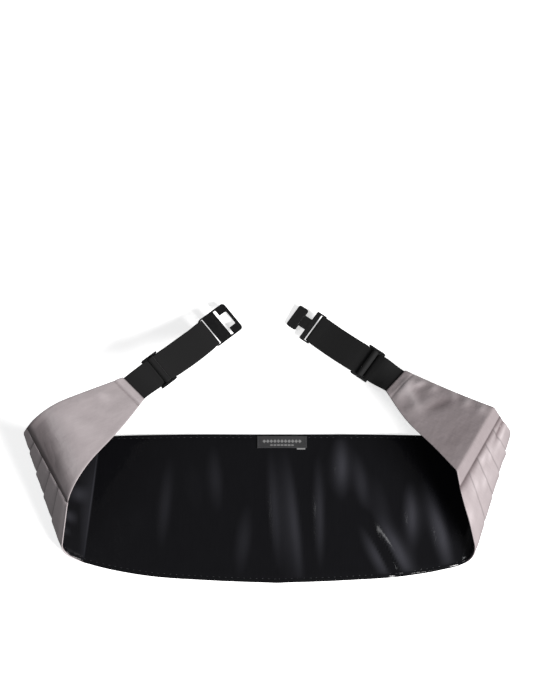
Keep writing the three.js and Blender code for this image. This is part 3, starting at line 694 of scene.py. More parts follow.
class Finish:
    """A material in the making, around one Principled shader."""

    def __init__(self, name, **uniform):
        self.material = bpy.data.materials.new(name)
        self.material.use_nodes = True
        self.tree = self.material.node_tree
        self.shader = self.tree.nodes["Principled BSDF"]
        for socket, value in uniform.items():
            self.shader.inputs[socket.replace("_", " ")].default_value = value

    def node(self, kind, settings, inputs, output=0):
        """Adds a node, sets it, fills its sockets and gives one of its outputs as an Amount."""
        node = self.tree.nodes.new(kind)
        for name, value in settings.items():
            setattr(node, name, value)
        for name, value in inputs.items():
            if isinstance(value, Amount):
                value = value.socket
            if isinstance(value, bpy.types.NodeSocket):
                self.tree.links.new(value, node.inputs[name])
            else:
                node.inputs[name].default_value = value
        return Amount(self, node.outputs[output])

    def flat_place(self):
        """How far along and across the flat cloth, in millimetres."""
        uv = self.node("ShaderNodeUVMap", {"uv_map": "flat"}, {})
        parts = self.node("ShaderNodeSeparateXYZ", {}, {0: uv})
        across = Amount(self, parts.socket.node.outputs[1])
        return parts * 1000.0, across * 1000.0

    def value(self, name):
        """A number that the mesh carries, or 0 where it carries none."""
        return self.node("ShaderNodeAttribute", {"attribute_name": name}, {}, 2)

    def object_place(self):
        return self.node("ShaderNodeTexCoord", {}, {}, "Object")

    def grain(self, u, v, u_size, v_size, detail=2.0):
        """Noise on the flat cloth whose bumps are so many millimetres along and across."""
        place = self.node("ShaderNodeCombineXYZ", {}, {0: u / u_size, 1: v / v_size})
        return self.node("ShaderNodeTexNoise", {}, {"Vector": place, "Scale": 1.0,
                                                    "Detail": detail, "Roughness": 0.5})

    def speckle(self, size, detail=2.0):
        """Noise through a solid piece whose bumps are so many metres across."""
        return self.node("ShaderNodeTexNoise", {}, {"Vector": self.object_place(),
                                                    "Scale": 1 / size, "Detail": detail})

    def mix(self, share, first, second):
        """A colour between two others."""
        return self.node("ShaderNodeMix", {"data_type": "RGBA"}, {0: share, 6: first, 7: second}, 2)

    def set(self, socket, value):
        self.tree.links.new(value.socket, self.shader.inputs[socket])

    def relief(self, height):
        """Bumps of the surface, given as a height in metres."""
        bump = self.node("ShaderNodeBump", {}, {"Strength": 1.0, "Distance": 1.0, "Height": height})
        self.set("Normal", bump)


def tint(colour_value, share):
    """A colour made lighter or darker, with its alpha."""
    return (*[min(max(part * share, 0.0), 1.0) for part in colour_value], 1.0)


def front_satin():
    base = colours().front_satin
    finish = Finish("silver satin", Roughness=0.36, Specular_IOR_Level=0.25, Sheen_Weight=0.02,
                    Sheen_Roughness=0.35)
    u, v = finish.flat_place()
    threads = finish.grain(u, v, 5.0, 0.22)
    slubs = finish.grain(u, v, 16.0, 0.9, 3.0)
    crinkle = finish.grain(u, v, 7.0, 9.0)
    twill = ((u * 1.5 + v * 6.0) * 3.1).sine()
    tone = threads * 0.25 + slubs * 0.5 + crinkle * 0.25
    warm_shade = (0.43, 0.38, 0.385)
    dark = (*[part * share for part, share in zip(base, warm_shade)], 1.0)
    # Painted light and shade: the mesh's painted light value moves the colour from a warm painted shade
    # to a painted highlight, and its shade value paints shade under the pleats' free edges.
    lightness = tone * 0.25 + finish.value("lustre") * 0.5 + 0.375
    lit = finish.mix(lightness, dark, tint(base, 1.60))
    finish.set("Base Color", finish.mix(finish.value("shade") * 0.62, lit, tint(base, 0.25)))
    finish.set("Roughness", slubs * 0.10 + threads * 0.06 + 0.29)
    finish.relief(threads * 0.00004 + twill * 0.000003 + slubs * 0.00008 + crinkle * 0.0004)
    return finish.material


def lining_satin():
    base = colours().lining_satin
    finish = Finish("black satin", Roughness=0.14, Specular_IOR_Level=0.36)
    u, v = finish.flat_place()
    threads = finish.grain(u, v, 0.25, 6.0)
    slubs = finish.grain(u, v, 1.2, 22.0, 3.0)
    crinkle = finish.grain(u, v, 9.0, 16.0, 3.0)
    tone = threads * 0.3 + slubs * 0.4 + crinkle * 0.3
    dull = finish.mix(tone, tint(base, 0.75), tint(base, 1.3))
    # The mesh's ridge value paints highlights where the lining's ripples, creases and streaks would
    # catch the light, lightening its colour up to sevenfold.
    finish.set("Base Color", finish.mix(finish.value("ridge"), dull, tint(base, 7.0)))
    finish.set("Roughness", slubs * 0.06 + crinkle * 0.04 + 0.09)
    finish.relief(threads * 0.00001 + slubs * 0.00003 + crinkle * 0.0003)
    return finish.material


def elastic_webbing():
    base = colours().elastic
    finish = Finish("ribbed elastic", Roughness=0.8, Specular_IOR_Level=0.22, Sheen_Weight=0.04,
                    Sheen_Roughness=0.5)
    u, v = finish.flat_place()
    rib_spacing, pick_spacing = 1.1, 0.75
    ribs = (v * (2 * math.pi / rib_spacing)).sine()
    picks = (u * (2 * math.pi / pick_spacing) + ribs * 0.9).sine()
    fuzz = finish.grain(u, v, 0.5, 0.5, 3.0)
    weave = ribs * 0.25 + picks * 0.25 + 0.5
    tone = weave * 0.5 + fuzz * 0.5
    finish.set("Base Color", finish.mix(tone, tint(base, 0.55), tint(base, 1.7)))
    finish.set("Roughness", fuzz * 0.15 + 0.7)
    finish.relief(weave * 0.00012 + fuzz * 0.00006)
    return finish.material


def black_plastic():
    base = colours().plastic
    finish = Finish("black plastic", Roughness=0.42, Specular_IOR_Level=0.4)
    spark = finish.speckle(0.0004)
    scuff = finish.speckle(0.004, 4.0)
    finish.set("Base Color", finish.mix(scuff, tint(base, 0.8), tint(base, 1.5)))
    finish.set("Roughness", spark * 0.12 + scuff * 0.16 + 0.28)
    finish.relief(spark * 0.00003)
    return finish.material


def label_weave():
    sizes, palette = cloth_sizes(), colours()
    finish = Finish("label weave", Roughness=0.6, Specular_IOR_Level=0.4, Sheen_Weight=0.1)
    u, v = finish.flat_place()
    across = u - sizes.label_shift * 1000
    down = v + (sizes.label_margin + sizes.label_width / 2) * 1000
    repeat, half_row = 3.0, 16.5
    diamond_row, diamond_half = 0.6, 1.55
    dash_row, dash_half_width, dash_half_height = -2.8, 1.1, 0.6
    picks_per_mm = 2.6
    beside = abs((across / repeat + 0.5).fraction() - 0.5) * repeat
    in_row = abs(across) < half_row
    diamond = (beside * 1.1 + abs(down - diamond_row) < diamond_half) * in_row
    dash = ((abs(down - dash_row) < dash_half_height) * (beside < dash_half_width)
            * (abs(across) < half_row * 0.6))
    pattern = diamond.maximum(dash)
    picks = ((v * picks_per_mm).fraction() - 0.5) * ((u * picks_per_mm).fraction() - 0.5)
    fuzz = finish.grain(u, v, 0.3, 0.3)
    ground = finish.mix(fuzz, tint(palette.label, 0.6), tint(palette.label, 1.8))
    thread = finish.mix(fuzz, tint(palette.label_thread, 0.6), tint(palette.label_thread, 1.2))
    finish.set("Base Color", finish.mix(pattern, ground, thread))
    finish.set("Roughness", fuzz * 0.2 + 0.5)
    finish.relief(picks * 0.0002 + pattern * 0.00005 + fuzz * 0.00004)
    return finish.material


def thread_finish(name, base):
    made = bpy.data.materials.get(name)
    if made:
        return made
    finish = Finish(name, Roughness=0.6, Specular_IOR_Level=0.4, Sheen_Weight=0.2)
    twist = finish.speckle(0.0005, 1.0)
    finish.set("Base Color", finish.mix(twist, tint(base, 0.7), tint(base, 1.3)))
    finish.set("Roughness", twist * 0.2 + 0.5)
    finish.relief(twist * 0.00004)
    return finish.material


FINISHES = {"silver satin": front_satin, "black satin": lining_satin,
            "ribbed elastic": elastic_webbing, "black plastic": black_plastic,
            "label weave": label_weave}


def material(name):
    """The material of this name, made by its own function the first time."""
    return bpy.data.materials.get(name) or FINISHES[name]()


# Pieces of cloth

class CUMMERBUND_OT_front(bpy.types.Operator):
    """Make the pleated satin front, with its edges turned in under the lining"""
    bl_idname = "cummerbund.front"
    bl_label = "Pleated front"

    def execute(self, context):
        cloth = Cloth(cloth_sizes())
        rows, heights, gapes, pleat_of, shades = self.profile(cloth)
        seam = cloth.seam_line(-cloth.sizes.seam_gap / 2)
        spacing, bend_step = 0.0034, 6
        lines = cloth.both_ends(seam, seam, spacing, bend_step)
        x, y = cloth.flat_points(lines, rows, cloth.front_inset)
        w = np.repeat(np.array(heights)[:, None], len(lines), axis=1)
        w = w - self.opening(cloth, x, np.array(gapes)[:, None], pleat_of)
        puckers = np.where(x < 0, *(ridge_height(FRONT_FOLDS[side], cloth, np.abs(x), y, 1)
                                    for side in SIDES))
        outer = np.array(heights)[:, None] < cloth.front_inside * 2 / 3
        w = w - puckers * outer
        w = self.sewn_down(cloth, x, w)
        points = cloth.place(x, y, w)
        bm, index = new_grid(*x.shape)
        lay_grid(bm.verts, index, points)
        across = np.zeros_like(y)
        across[1:] = -np.cumsum(np.hypot(np.diff(y, axis=0), np.diff(w, axis=0)), axis=0)
        write_pattern(bm, index, x, across)
        write_values(bm, "shade", np.repeat(np.array(shades)[:, None], len(lines), axis=1))
        # Painted light and shade of the curled ends: a tone for each side, painted highlights and shade
        # over the puckers and painted shade beside the seams.
        strips = np.where(x < 0, *(STRIP_PAINTED_LIGHT[side] for side in SIDES))
        seam_line_width = 0.0018
        beside_seam = smooth(1 - (cloth.seam - np.abs(x)) / seam_line_width)
        lustre = strips + puckers * outer / BRIGHT_PUCKER - 2 * SEAM_SHADE * beside_seam
        write_values(bm, "lustre", np.clip(lustre, -1, 1))
        piece = add_piece("PleatedFront", bm, material("silver satin"), "front_satin", "front_panel")
        wall = piece.modifiers.new("satin", "SOLIDIFY")
        wall.thickness = cloth.sizes.satin
        wall.offset = 0
        flat_area(x, across)
        return {"FINISHED"}

    def profile(self, cloth):
        """Rows from the top edge's turn-in, over the pleats, to the bottom edge's turn-in."""
        sizes = cloth.sizes
        pleat = 1 / sizes.pleats
        per_metre = 1 / cloth.depth
        fold_height = 0.0004
        turned_in, rim_flat = 0.006, 0.002
        land, under = 0.00017, 0.00095
        returning = under - fold_height
        inner = cloth.front_inside - 0.00018
        rows, heights, gapes, pleat_of, shades = [], [], [], [], []

        def add(share, shift, height, gape=0.0, number=0, shade=0.0):
            rows.append((share, shift))
            heights.append(height)
            gapes.append(gape)
            pleat_of.append(number)
            shades.append(shade)

        def arc(share, shift, height, radius, start, end, gape=0.0, number=0):
            for turn in np.radians(np.linspace(start, end, 6)):
                add(share, shift + radius * math.cos(turn), height + radius * math.sin(turn),
                    gape, number)

        rim = (inner - land) / 2
        add(0, turned_in, inner)
        add(0, rim_flat, inner)
        arc(0, rim, land + rim, rim, 90, 270)
        for number in range(sizes.pleats):
            start = number * pleat
            fold = fold_height / 2
            if number:
                arc(start, fold, land + fold, fold, 90, 270, 1.0, number)
            for share, gape in ((0.06, 0.85), (0.14, 0.55), (0.3, 0.2), (0.45, 0.05), (0.6, 0)):
                add(start + share * pleat, 0, land, gape, number)
            for share in (0.7, 0.84, 0.91, 0.95, 0.975):
                rise = smooth((share - 0.6) / 0.37)
                shade = smooth((share - 0.86) / 0.09) if number < sizes.pleats - 1 else 0
                height = land + (under - land) * float(rise)
                add(start + share * pleat, 0, height, shade=float(shade))
            if number < sizes.pleats - 1:
                end = start + pleat
                tuck = sizes.pleat_fold
                for part in (0.3, 0.7, 1.0):
                    add(end + part * tuck * per_metre, 0, under, shade=1.0)
                arc(end + tuck * per_metre, 0, under - fold, fold, 60, -60)
                for part, gape in ((0.9, 0.0), (0.55, 0.25), (0.2, 0.8)):
                    add(end + part * tuck * per_metre, 0, returning, gape, number + 1)
        rim = (inner - under) / 2
        arc(1, -rim, under + rim, rim, -90, 90)
        add(1, -rim_flat, inner)
        add(1, -turned_in, inner)
        return rows, heights, gapes, np.array(pleat_of), shades

    def opening(self, cloth, x, gapes, pleat_of):
        """How far the pleats' free edges stand out where the ends curl up."""
        out = np.abs(x) / cloth.seam
        first, last, ease = 0.74, 0.995, 0.1
        along = smooth((out - first) / ease) * smooth((last - out) / ease)
        widest = (np.array(PLEAT_GAPES[side])[pleat_of][:, None] for side in SIDES)
        return gapes * along * np.where(x < 0, *widest)

    def sewn_down(self, cloth, x, w):
        """Presses the pleats together where they are sewn to the end pieces."""
        pressed_width = 0.006
        pressed = smooth(1 - (cloth.seam - np.abs(x)) / pressed_width)
        flat = cloth.end_outside + w * (1 - cloth.end_outside / cloth.front_inside)
        return w + (flat - w) * pressed


class CUMMERBUND_OT_lining(bpy.types.Operator):
    """Make the rippled black lining with its turned and stitched edges"""
    bl_idname = "cummerbund.lining"
    bl_label = "Lining"

    def execute(self, context):
        cloth = Cloth(cloth_sizes())
        sizes = cloth.sizes
        half = sizes.lining_cloth / 2
        hem = [(0, shift) for shift in (0.0011, 0.0018, 0.0024, 0.0030, 0.0038)]
        interior = [(float(share), 0) for share in np.linspace(0.055, 0.945, 52)]
        interior = hem + interior + [(1, -shift) for _, shift in reversed(hem)]
        rows = edge_rows(half, interior)
        spacing, bend_step = 0.0024, 5
        lines = cloth.both_ends(*(cloth.tip_line(side, -sizes.lining_inset) for side in SIDES),
                                spacing, bend_step)
        x, y = cloth.flat_points(lines, rows, cloth.lining_inset)
        top, bottom = cloth.edges_at(x)
        edge = np.minimum(top - y, y - bottom) - cloth.lining_inset(x)
        rounding = round_share(edge, half)
        middle = cloth.lining_outside + half
        raised = ridge_height(RIPPLES, cloth, x, y, sizes.ripple)
        creased = ridge_height(CREASES, cloth, x, y, sizes.ripple)
        groove_depth, groove_width, drape_width, drape_inside = 0.0003, 0.0008, 0.0009, 0.55
        groove = groove_depth * np.exp(-(((edge - sizes.stitch_line) / groove_width) ** 2))
        drape = sizes.edge_drape * (1 - cloth.widened(x)) * np.exp(-((edge / drape_width) ** 2))
        outside = cloth.place(x, y, middle + raised - half * rounding - drape)
        inside = cloth.place(x, y, middle + raised + creased + half * rounding - groove
                             - drape_inside * drape)
        bm = closed_sheet(outside, inside, x, y)
        # Painted highlight: a value that lightens the lining's colour over its raised ripples and
        # creases and along the painted streaks, fading out near its edges.
        streaks = ridge_height(PAINTED_STREAKS, cloth, x, y, 1)
        painted_highlight = np.clip((raised * 0.35 + creased) / sizes.ripple - 0.10 + streaks, 0, 1)
        write_values(bm, "ridge", painted_highlight * smooth(edge / 0.006))
        piece = add_piece("LiningSheet", bm, material("black satin"), "lining_satin", "lining")
        flat_area(x, y)
        return {"FINISHED"}


class CUMMERBUND_OT_end_pieces(bpy.types.Operator):
    """Make the plain satin end pieces that taper to the elastics"""
    bl_idname = "cummerbund.end_pieces"
    bl_label = "End pieces"

    def execute(self, context):
        cloth = Cloth(cloth_sizes())
        for side, name in zip(SIDES, ("EndPieceLeft", "EndPieceRight")):
            self.end_piece(cloth, side, name)
        return {"FINISHED"}

    def end_piece(self, cloth, side, name):
        sizes = cloth.sizes
        half = sizes.end_cloth / 2
        rows = edge_rows(half, [(float(share), 0) for share in np.linspace(0.04, 0.96, 34)])
        start = cloth.seam_line(-0.0001)
        hem = np.array([1.25, 1.16, 1.08, 1.0, 0.92, 0.84, 0.74, 0.6, 0.42, 0.28, 0.16]) * sizes.hem
        spacing, bend_step = 0.0016, 4
        before_hem = cloth.tip_line(side, -1.35 * sizes.hem)
        lines = cloth.lines_across(side, start, before_hem, spacing, bend_step)
        lines = np.vstack([lines, [cloth.tip_line(side, -shift)
                                   for shift in (*hem, half, 0.5 * half, 0.15 * half, 0)]])
        sign = -1 if side == "left" else 1
        x, y = cloth.flat_points(lines * sign, rows)
        top, bottom = cloth.edges_at(x)
        distance = [top - y, y - bottom]
        tip, direction = cloth.halves[side]["tip"], cloth.halves[side]["direction"]
        to_tip = (tip[0] - np.abs(x)) * direction[0] + (tip[1] - y) * direction[1]
        distance.append(to_tip)
        rounding = round_share(np.minimum.reduce(distance), half)
        fullness = 0.0005 * soft_noise(x, y, 0.030, 3.0) + 0.0002 * soft_noise(x, y, 0.011, 8.0)
        folds = ridge_height(FLAP_FOLDS[side], cloth, np.abs(x), y, 1)
        sewn_width, hem_start, hem_end, flat_rim, seam_line_width = 0.0009, 0.0015, 0.0020, 0.008, 0.0015
        sewn = np.exp(-(((to_tip - sizes.hem) / sewn_width) ** 2))
        doubled = smooth(to_tip / hem_start) * smooth((sizes.hem - to_tip) / hem_end)
        from_edge = np.minimum.reduce([*distance, np.abs(x) - start[0]])
        inner_share = smooth(from_edge / flat_rim)
        seam_relief = HEM_RELIEF[side] * (doubled - 0.8 * sewn)
        bulge = (fullness + folds) * inner_share + seam_relief
        beside_seam = smooth(1 - (np.abs(x) - start[0]) / seam_line_width)
        # Painted light and shade: a tone for each end piece, painted highlights and shade over its
        # folds, a painted lighter hem with painted shade along its sewn line, and painted shade beside
        # the seam.
        lustre = FLAP_PAINTED_LIGHT[side] + folds / BRIGHT_FOLD + HEM_PAINTED_LIGHT[side] * (doubled - 2 * sewn)
        lustre = lustre - SEAM_SHADE * beside_seam
        middle = cloth.end_outside + half
        outside = cloth.place(x, y, middle - half * rounding - bulge)
        inside = cloth.place(x, y, middle + half * rounding)
        if side == "left":
            outside, inside, x, y, lustre = (part[:, ::-1]
                                             for part in (outside, inside, x, y, lustre))
        bm = closed_sheet(outside, inside, x, y)
        write_values(bm, "lustre", np.clip(lustre, -1, 1))
        piece = add_piece(name, bm, material("silver satin"), "front_satin", f"end_piece_{side}")
        flat_area(x, y)


class CUMMERBUND_OT_label(bpy.types.Operator):
    """Make the woven label with its plain pattern and the tab under it"""
    bl_idname = "cummerbund.label"
    bl_label = "Label"

    def execute(self, context):
        cloth = Cloth(cloth_sizes())
        sizes = cloth.sizes
        half_wide, half_high = sizes.label_length / 2, sizes.label_width / 2
        self.patch(cloth, "WovenLabel", sizes.label_shift,
                   -sizes.label_margin - half_high, half_wide, half_high, 0.0002, 0.0007,
                   material("label weave"), "label")
        pale = thread_finish("pale tab", colours().label_thread)
        self.patch(cloth, "SizeTab", sizes.label_shift + half_wide - 0.005,
                   -sizes.label_margin - sizes.label_width - 0.0001, 0.0036, 0.0011, 0.00005,
                   0.0004, pale)
        return {"FINISHED"}

    def patch(self, cloth, name, x_middle, y_middle, half_wide, half_high, low, high, weave, *nodes):
        """A flat patch of cloth on the lining, thinner at its edges."""
        ramp = np.array([0, 0.0001, 0.0003])
        across = np.concatenate([ramp, np.linspace(0.0012, 2 * half_wide - 0.0012, 24),
                                 2 * half_wide - ramp[::-1]])
        down = np.concatenate([ramp, np.linspace(0.0008, 2 * half_high - 0.0008, 10),
                               2 * half_high - ramp[::-1]])
        x, y = np.meshgrid(x_middle - half_wide + across, y_middle + half_high - down)
        distance = np.minimum(half_wide - np.abs(x - x_middle), half_high - np.abs(y - y_middle))
        rounding = round_share(distance, 0.0003)
        raised = ridge_height(RIPPLES, cloth, x, y, cloth.sizes.ripple) + cloth.lining_inside
        middle, half = (low + high) / 2, (high - low) / 2
        lift = 0.00035 * np.exp(-distance / 0.0015) * (0.6 + 0.6 * soft_noise(x, y, 0.012, 5.0))
        outside = cloth.place(x, y, raised + middle - half * rounding + lift)
        inside = cloth.place(x, y, raised + middle + half * rounding + lift)
        add_piece(name, closed_sheet(outside, inside, x, y), weave, "label_weave", *nodes)


# Straps and fittings

class Strap:
    """The frame of one strap: X along it from the end piece, Y across it, Z to the visible side."""

    def __init__(self, cloth, sizes, side):
        self.sizes = sizes
        left = side == "left"
        sign = -1 if left else 1
        tip, direction = cloth.halves[side]["tip"], cloth.halves[side]["direction"]
        height = (cloth.end_outside + cloth.lining_inside) / 2
        small = 0.001

        def placed(point, w):
            return cloth.place(sign * point[0], point[1], w)

        root = placed(tip, height)
        along = unit(placed(tip + direction * small, height) - root)
        up = unit(placed(tip, height - small) - root)
        self.length = sizes.slot_strap if left else sizes.hook_strap
        tip_width = sizes.clasp_width if left else sizes.head_width
        swing = sizes.left_swing if left else sizes.right_swing
        tilt = sizes.left_tilt if left else sizes.right_tilt
        self.clasp_height = (sizes.elastic + cloth.sizes.layer_gap) / 2
        underside = self.clasp_height - sizes.clasp_thickness / 2
        low_corner = underside * math.cos(tilt) - tip_width / 2 * abs(math.sin(tilt))
        fall = math.asin((root[2] - sizes.table_clearance) / math.hypot(self.length, low_corner))
        slope = fall + math.atan2(low_corner, self.length)
        heading = math.atan2(along[1], along[0]) + swing
        turn = (Matrix.Rotation(heading, 3, "Z") @ Matrix.Rotation(slope, 3, "Y")
                @ Matrix.Rotation(tilt, 3, "X"))
        self.matrix = Matrix.Translation(root) @ turn.to_4x4()
        self.tip_turn = np.array(turn).T @ np.array([along, np.cross(up, along), up]).T
        self.seam_gap = cloth.sizes.seam_gap
        self.layer = sizes.elastic + cloth.sizes.layer_gap
        self.end_bar_height = -(sizes.elastic / 2 + sizes.bar_clearance
                                + sizes.slider_thickness / 2)
        self.bar_x = self.length - (self.slot_reach() if left else self.hook_reach())

    def slot_reach(self):
        s = self.sizes
        return (s.clasp_bar / 2 + s.clasp_slit + s.clasp_bridge + s.cross_width + s.stem_length
                + s.outer_frame)

    def hook_reach(self):
        s = self.sizes
        return s.clasp_bar / 2 + s.clasp_slit + s.shoulder + s.neck_length + s.head_length

    def seat(self, bm, x=0.0, z=0.0):
        """Moves a mesh from its own frame to its place on the strap."""
        matrix = self.matrix @ Matrix.Translation((x, 0, z))
        bmesh.ops.transform(bm, matrix=matrix, verts=bm.verts[:])

    def leaving(self, points):
        """Turns the elastic's first stretch from the lean of the end piece's tip to the strap's."""
        share = (points[..., :1] - self.seam_gap) / (self.sizes.twist_length - self.seam_gap)
        share = smooth(share)
        return points @ self.tip_turn.T * (1 - share) + points * share

    def path(self):
        """The elastic's middle line, seen from its edge."""
        s = self.sizes
        bar_height = self.end_bar_height + s.slider_arch
        wrap = (math.hypot(s.slider_middle_bar, s.slider_thickness) / 2 + s.bar_clearance
                + s.elastic / 2)
        under = bar_height - wrap - s.elastic - s.bar_clearance
        loop = s.clasp_thickness / 2 + s.bar_clearance + s.elastic / 2
        dip = s.slider_length / 2 - s.slider_end_bar - s.bar_clearance
        reach, spread = s.slider_reach, s.loop_spread
        points = [(-0.0006, 0), (reach - dip, 0), (reach - s.slider_middle_bar / 2, under),
                  (reach + s.slider_middle_bar / 2, under), (reach + dip, 0),
                  (self.bar_x - spread, 0)]
        points += self.arc(self.bar_x + 0.0006, self.clasp_height, loop, -90, 90)
        points += [(self.bar_x - spread, self.layer), (reach + dip, self.layer)]
        points += self.arc(reach, bar_height, wrap, -80, -310)
        return np.array(points)

    def arc(self, x, z, radius, start, end):
        turns = np.radians(np.linspace(start, end, 9))
        return [(x + radius * math.cos(turn), z + radius * math.sin(turn)) for turn in turns]


def rounded_path(points, spacing):
    """Cuts the corners of a path twice and spaces its points evenly."""
    for _ in range(2):
        first = points[:-1] * 0.78 + points[1:] * 0.22
        second = points[:-1] * 0.22 + points[1:] * 0.78
        middle = np.stack([first, second], axis=1).reshape(-1, 2)
        points = np.vstack([points[:1], middle[1:-1], points[-1:]])
    reach = np.concatenate([[0], np.cumsum(np.hypot(*np.diff(points, axis=0).T))])
    stops = np.linspace(0, reach[-1], round(reach[-1] / spacing) + 1)
    return np.column_stack([np.interp(stops, reach, part) for part in points.T]), stops


class CUMMERBUND_OT_elastics(bpy.types.Operator):
    """Make the two ribbed elastics, threaded through their sliders and round the clasp's bars"""
    bl_idname = "cummerbund.elastics"
    bl_label = "Elastics"

    def execute(self, context):
        cloth = Cloth(cloth_sizes())
        for side, name, bulge in (("left", "ElasticLeft", -0.0012), ("right", "ElasticRight", 0.0006)):
            self.elastic(Strap(cloth, fitting_sizes(), side), side, name, bulge)
        return {"FINISHED"}

    def elastic(self, strap, side, name, bulge):
        s = strap.sizes
        path, reach = rounded_path(strap.path(), 0.0006)
        tangent = np.gradient(path, axis=0)
        tangent /= np.linalg.norm(tangent, axis=1)[:, None]
        normal = np.column_stack([-tangent[:, 1], tangent[:, 0]])
        half = s.elastic / 2
        near = np.array([0, 0.15, 0.5, 1]) * half
        inner = np.linspace(0.0015, s.elastic_width - 0.0015, 13)
        across = np.concatenate([near, inner, s.elastic_width - near[::-1]]) - s.elastic_width / 2
        rounding = round_share(s.elastic_width / 2 - np.abs(across), half)[:, None]
        turning = strap.bar_x - s.slider_reach
        back = np.clip((reach - reach[-1] + turning + 0.012) / turning, 0, 1)
        wander = bulge * np.sin(np.pi * back) + 0.00012 * np.sin(reach / 0.017)
        spread = 1 + s.elastic_spread * smooth(back / 0.15) * smooth((1 - back) / 0.15)
        y = across[:, None] * spread[None] + wander[None]
        sides = []
        for sign in (-1, 1):
            x = path[:, 0] + sign * half * rounding * normal[:, 0]
            z = path[:, 1] + sign * half * rounding * normal[:, 1]
            sides.append(strap.leaving(np.stack([x, y, z], axis=-1)))
        u = np.repeat(reach[None], len(across), axis=0)
        v = np.repeat(across[:, None], len(reach), axis=1)
        bm = closed_sheet(*sides, u, v)
        strap.seat(bm)
        bmesh.ops.recalc_face_normals(bm, faces=bm.faces[:])
        add_piece(name, bm, material("ribbed elastic"), "elastic_webbing", f"elastic_{side}")


def block(low, high, corner=0.0, at_ends="both"):
    """A block between two corners, its upright edges rounded at both ends of X or the far one."""
    bm = bmesh.new()
    low, high = Vector(low), Vector(high)
    verts = bmesh.ops.create_cube(bm, size=1)["verts"]
    bmesh.ops.scale(bm, vec=high - low, verts=verts)
    bmesh.ops.translate(bm, vec=(low + high) / 2, verts=verts)
    if corner:
        edges = {edge for vert in verts for edge in vert.link_edges}
        upright = [edge for edge in edges
                   if (edge.verts[0].co - edge.verts[1].co).xy.length < 1e-9
                   and (at_ends == "both" or edge.verts[0].co.x > high.x - 1e-6)]
        bmesh.ops.bevel(bm, geom=upright, offset=corner, segments=6, profile=0.5,
                        affect="EDGES", material=-1)
    return bm


def temporary(name, bm):
    mesh = bpy.data.meshes.new(name)
    bm.to_mesh(mesh)
    bm.free()
    made = bpy.data.objects.new(name, mesh)
    bpy.context.scene.collection.objects.link(made)
    return made


def combined(body, others):
    """Joins and cuts solids one after the other and gives the result as a bmesh."""
    base = temporary("base", body)
    tools = []
    for operation, other in others:
        tool = temporary("tool", other)
        step = base.modifiers.new("step", "BOOLEAN")
        step.operation = operation
        step.object = tool
        step.solver = "EXACT"
        tools.append(tool)
    bpy.context.view_layer.update()
    shown = base.evaluated_get(bpy.context.evaluated_depsgraph_get())
    bm = bmesh.new()
    bm.from_mesh(shown.to_mesh())
    shown.to_mesh_clear()
    for made in [base, *tools]:
        bpy.data.objects.remove(made)
    bmesh.ops.remove_doubles(bm, verts=bm.verts[:], dist=1e-7)
    bmesh.ops.recalc_face_normals(bm, faces=bm.faces[:])
    return bm


def moulded(piece, width):
    """Rounds a moulded piece's edges."""
    bevel = piece.modifiers.new("edges", "BEVEL")
    bevel.width = width
    bevel.segments = 3
    bevel.limit_method = "ANGLE"
    bevel.angle_limit = math.radians(28)
    bevel.harden_normals = True


class CUMMERBUND_OT_sliders(bpy.types.Operator):
    """Make the two arched sliders"""
    bl_idname = "cummerbund.sliders"
    bl_label = "Sliders"

    def execute(self, context):
        cloth = Cloth(cloth_sizes())
        for side, name in zip(SIDES, ("SliderLeft", "SliderRight")):
            strap = Strap(cloth, fitting_sizes(), side)
            bm = self.slider(strap.sizes)
            strap.seat(bm, strap.sizes.slider_reach, strap.end_bar_height)
            piece = add_piece(name, bm, material("black plastic"), "black_plastic", f"slider_{side}")
            moulded(piece, strap.sizes.edge_round)
        return {"FINISHED"}

    def slider(self, s):
        """An arched plate with a slot on each side of its raised middle bar, between two rails."""
        slot_half = s.elastic_width / 2 + s.side_clearance
        rail_width = s.slider_width / 2 - slot_half
        slot_end = s.slider_length / 2 - s.slider_end_bar
        slot_start = s.slider_middle_bar / 2
        xs = [-s.slider_length / 2, -slot_end, -slot_start, slot_start, slot_end, s.slider_length / 2]
        zs = [0, 0, s.slider_arch, s.slider_arch, 0, 0]
        half_width, half = slot_half + rail_width / 2, s.slider_thickness / 2
        bm, index = new_grid(2, len(xs))
        low = np.array([[(x, y, z - half) for x, z in zip(xs, zs)] for y in (half_width, -half_width)])
        lay_grid(bm.verts, index, low)
        extruded = bmesh.ops.extrude_face_region(bm, geom=bm.faces[:])
        moved = [item for item in extruded["geom"] if isinstance(item, bmesh.types.BMVert)]
        bmesh.ops.translate(bm, vec=(0, 0, s.slider_thickness), verts=moved)
        bmesh.ops.recalc_face_normals(bm, faces=bm.faces[:])
        tall = 2 * (s.slider_arch + s.slider_thickness)
        slots = [block((min(a, b), -slot_half, -tall), (max(a, b), slot_half, tall))
                 for a, b in ((slot_start, slot_end), (-slot_start, -slot_end))]
        low_rail = (s.slider_arch - s.slider_rail) / 2
        rails = [block((-s.slider_length / 2, min(a, b), low_rail),
                       (s.slider_length / 2, max(a, b), low_rail + s.slider_rail), 0.0006)
                 for a, b in ((slot_half, s.slider_width / 2), (-slot_half, -s.slider_width / 2))]
        webs = [block((-slot_end - 0.0005, min(a, b), -half), (slot_end + 0.0005, max(a, b), half))
                for a, b in ((slot_half - 0.002, slot_half + 0.0003),
                             (0.002 - slot_half, -slot_half - 0.0003))]
        return combined(bm, [("DIFFERENCE", slot) for slot in slots]
                        + [("UNION", part) for part in rails + webs])


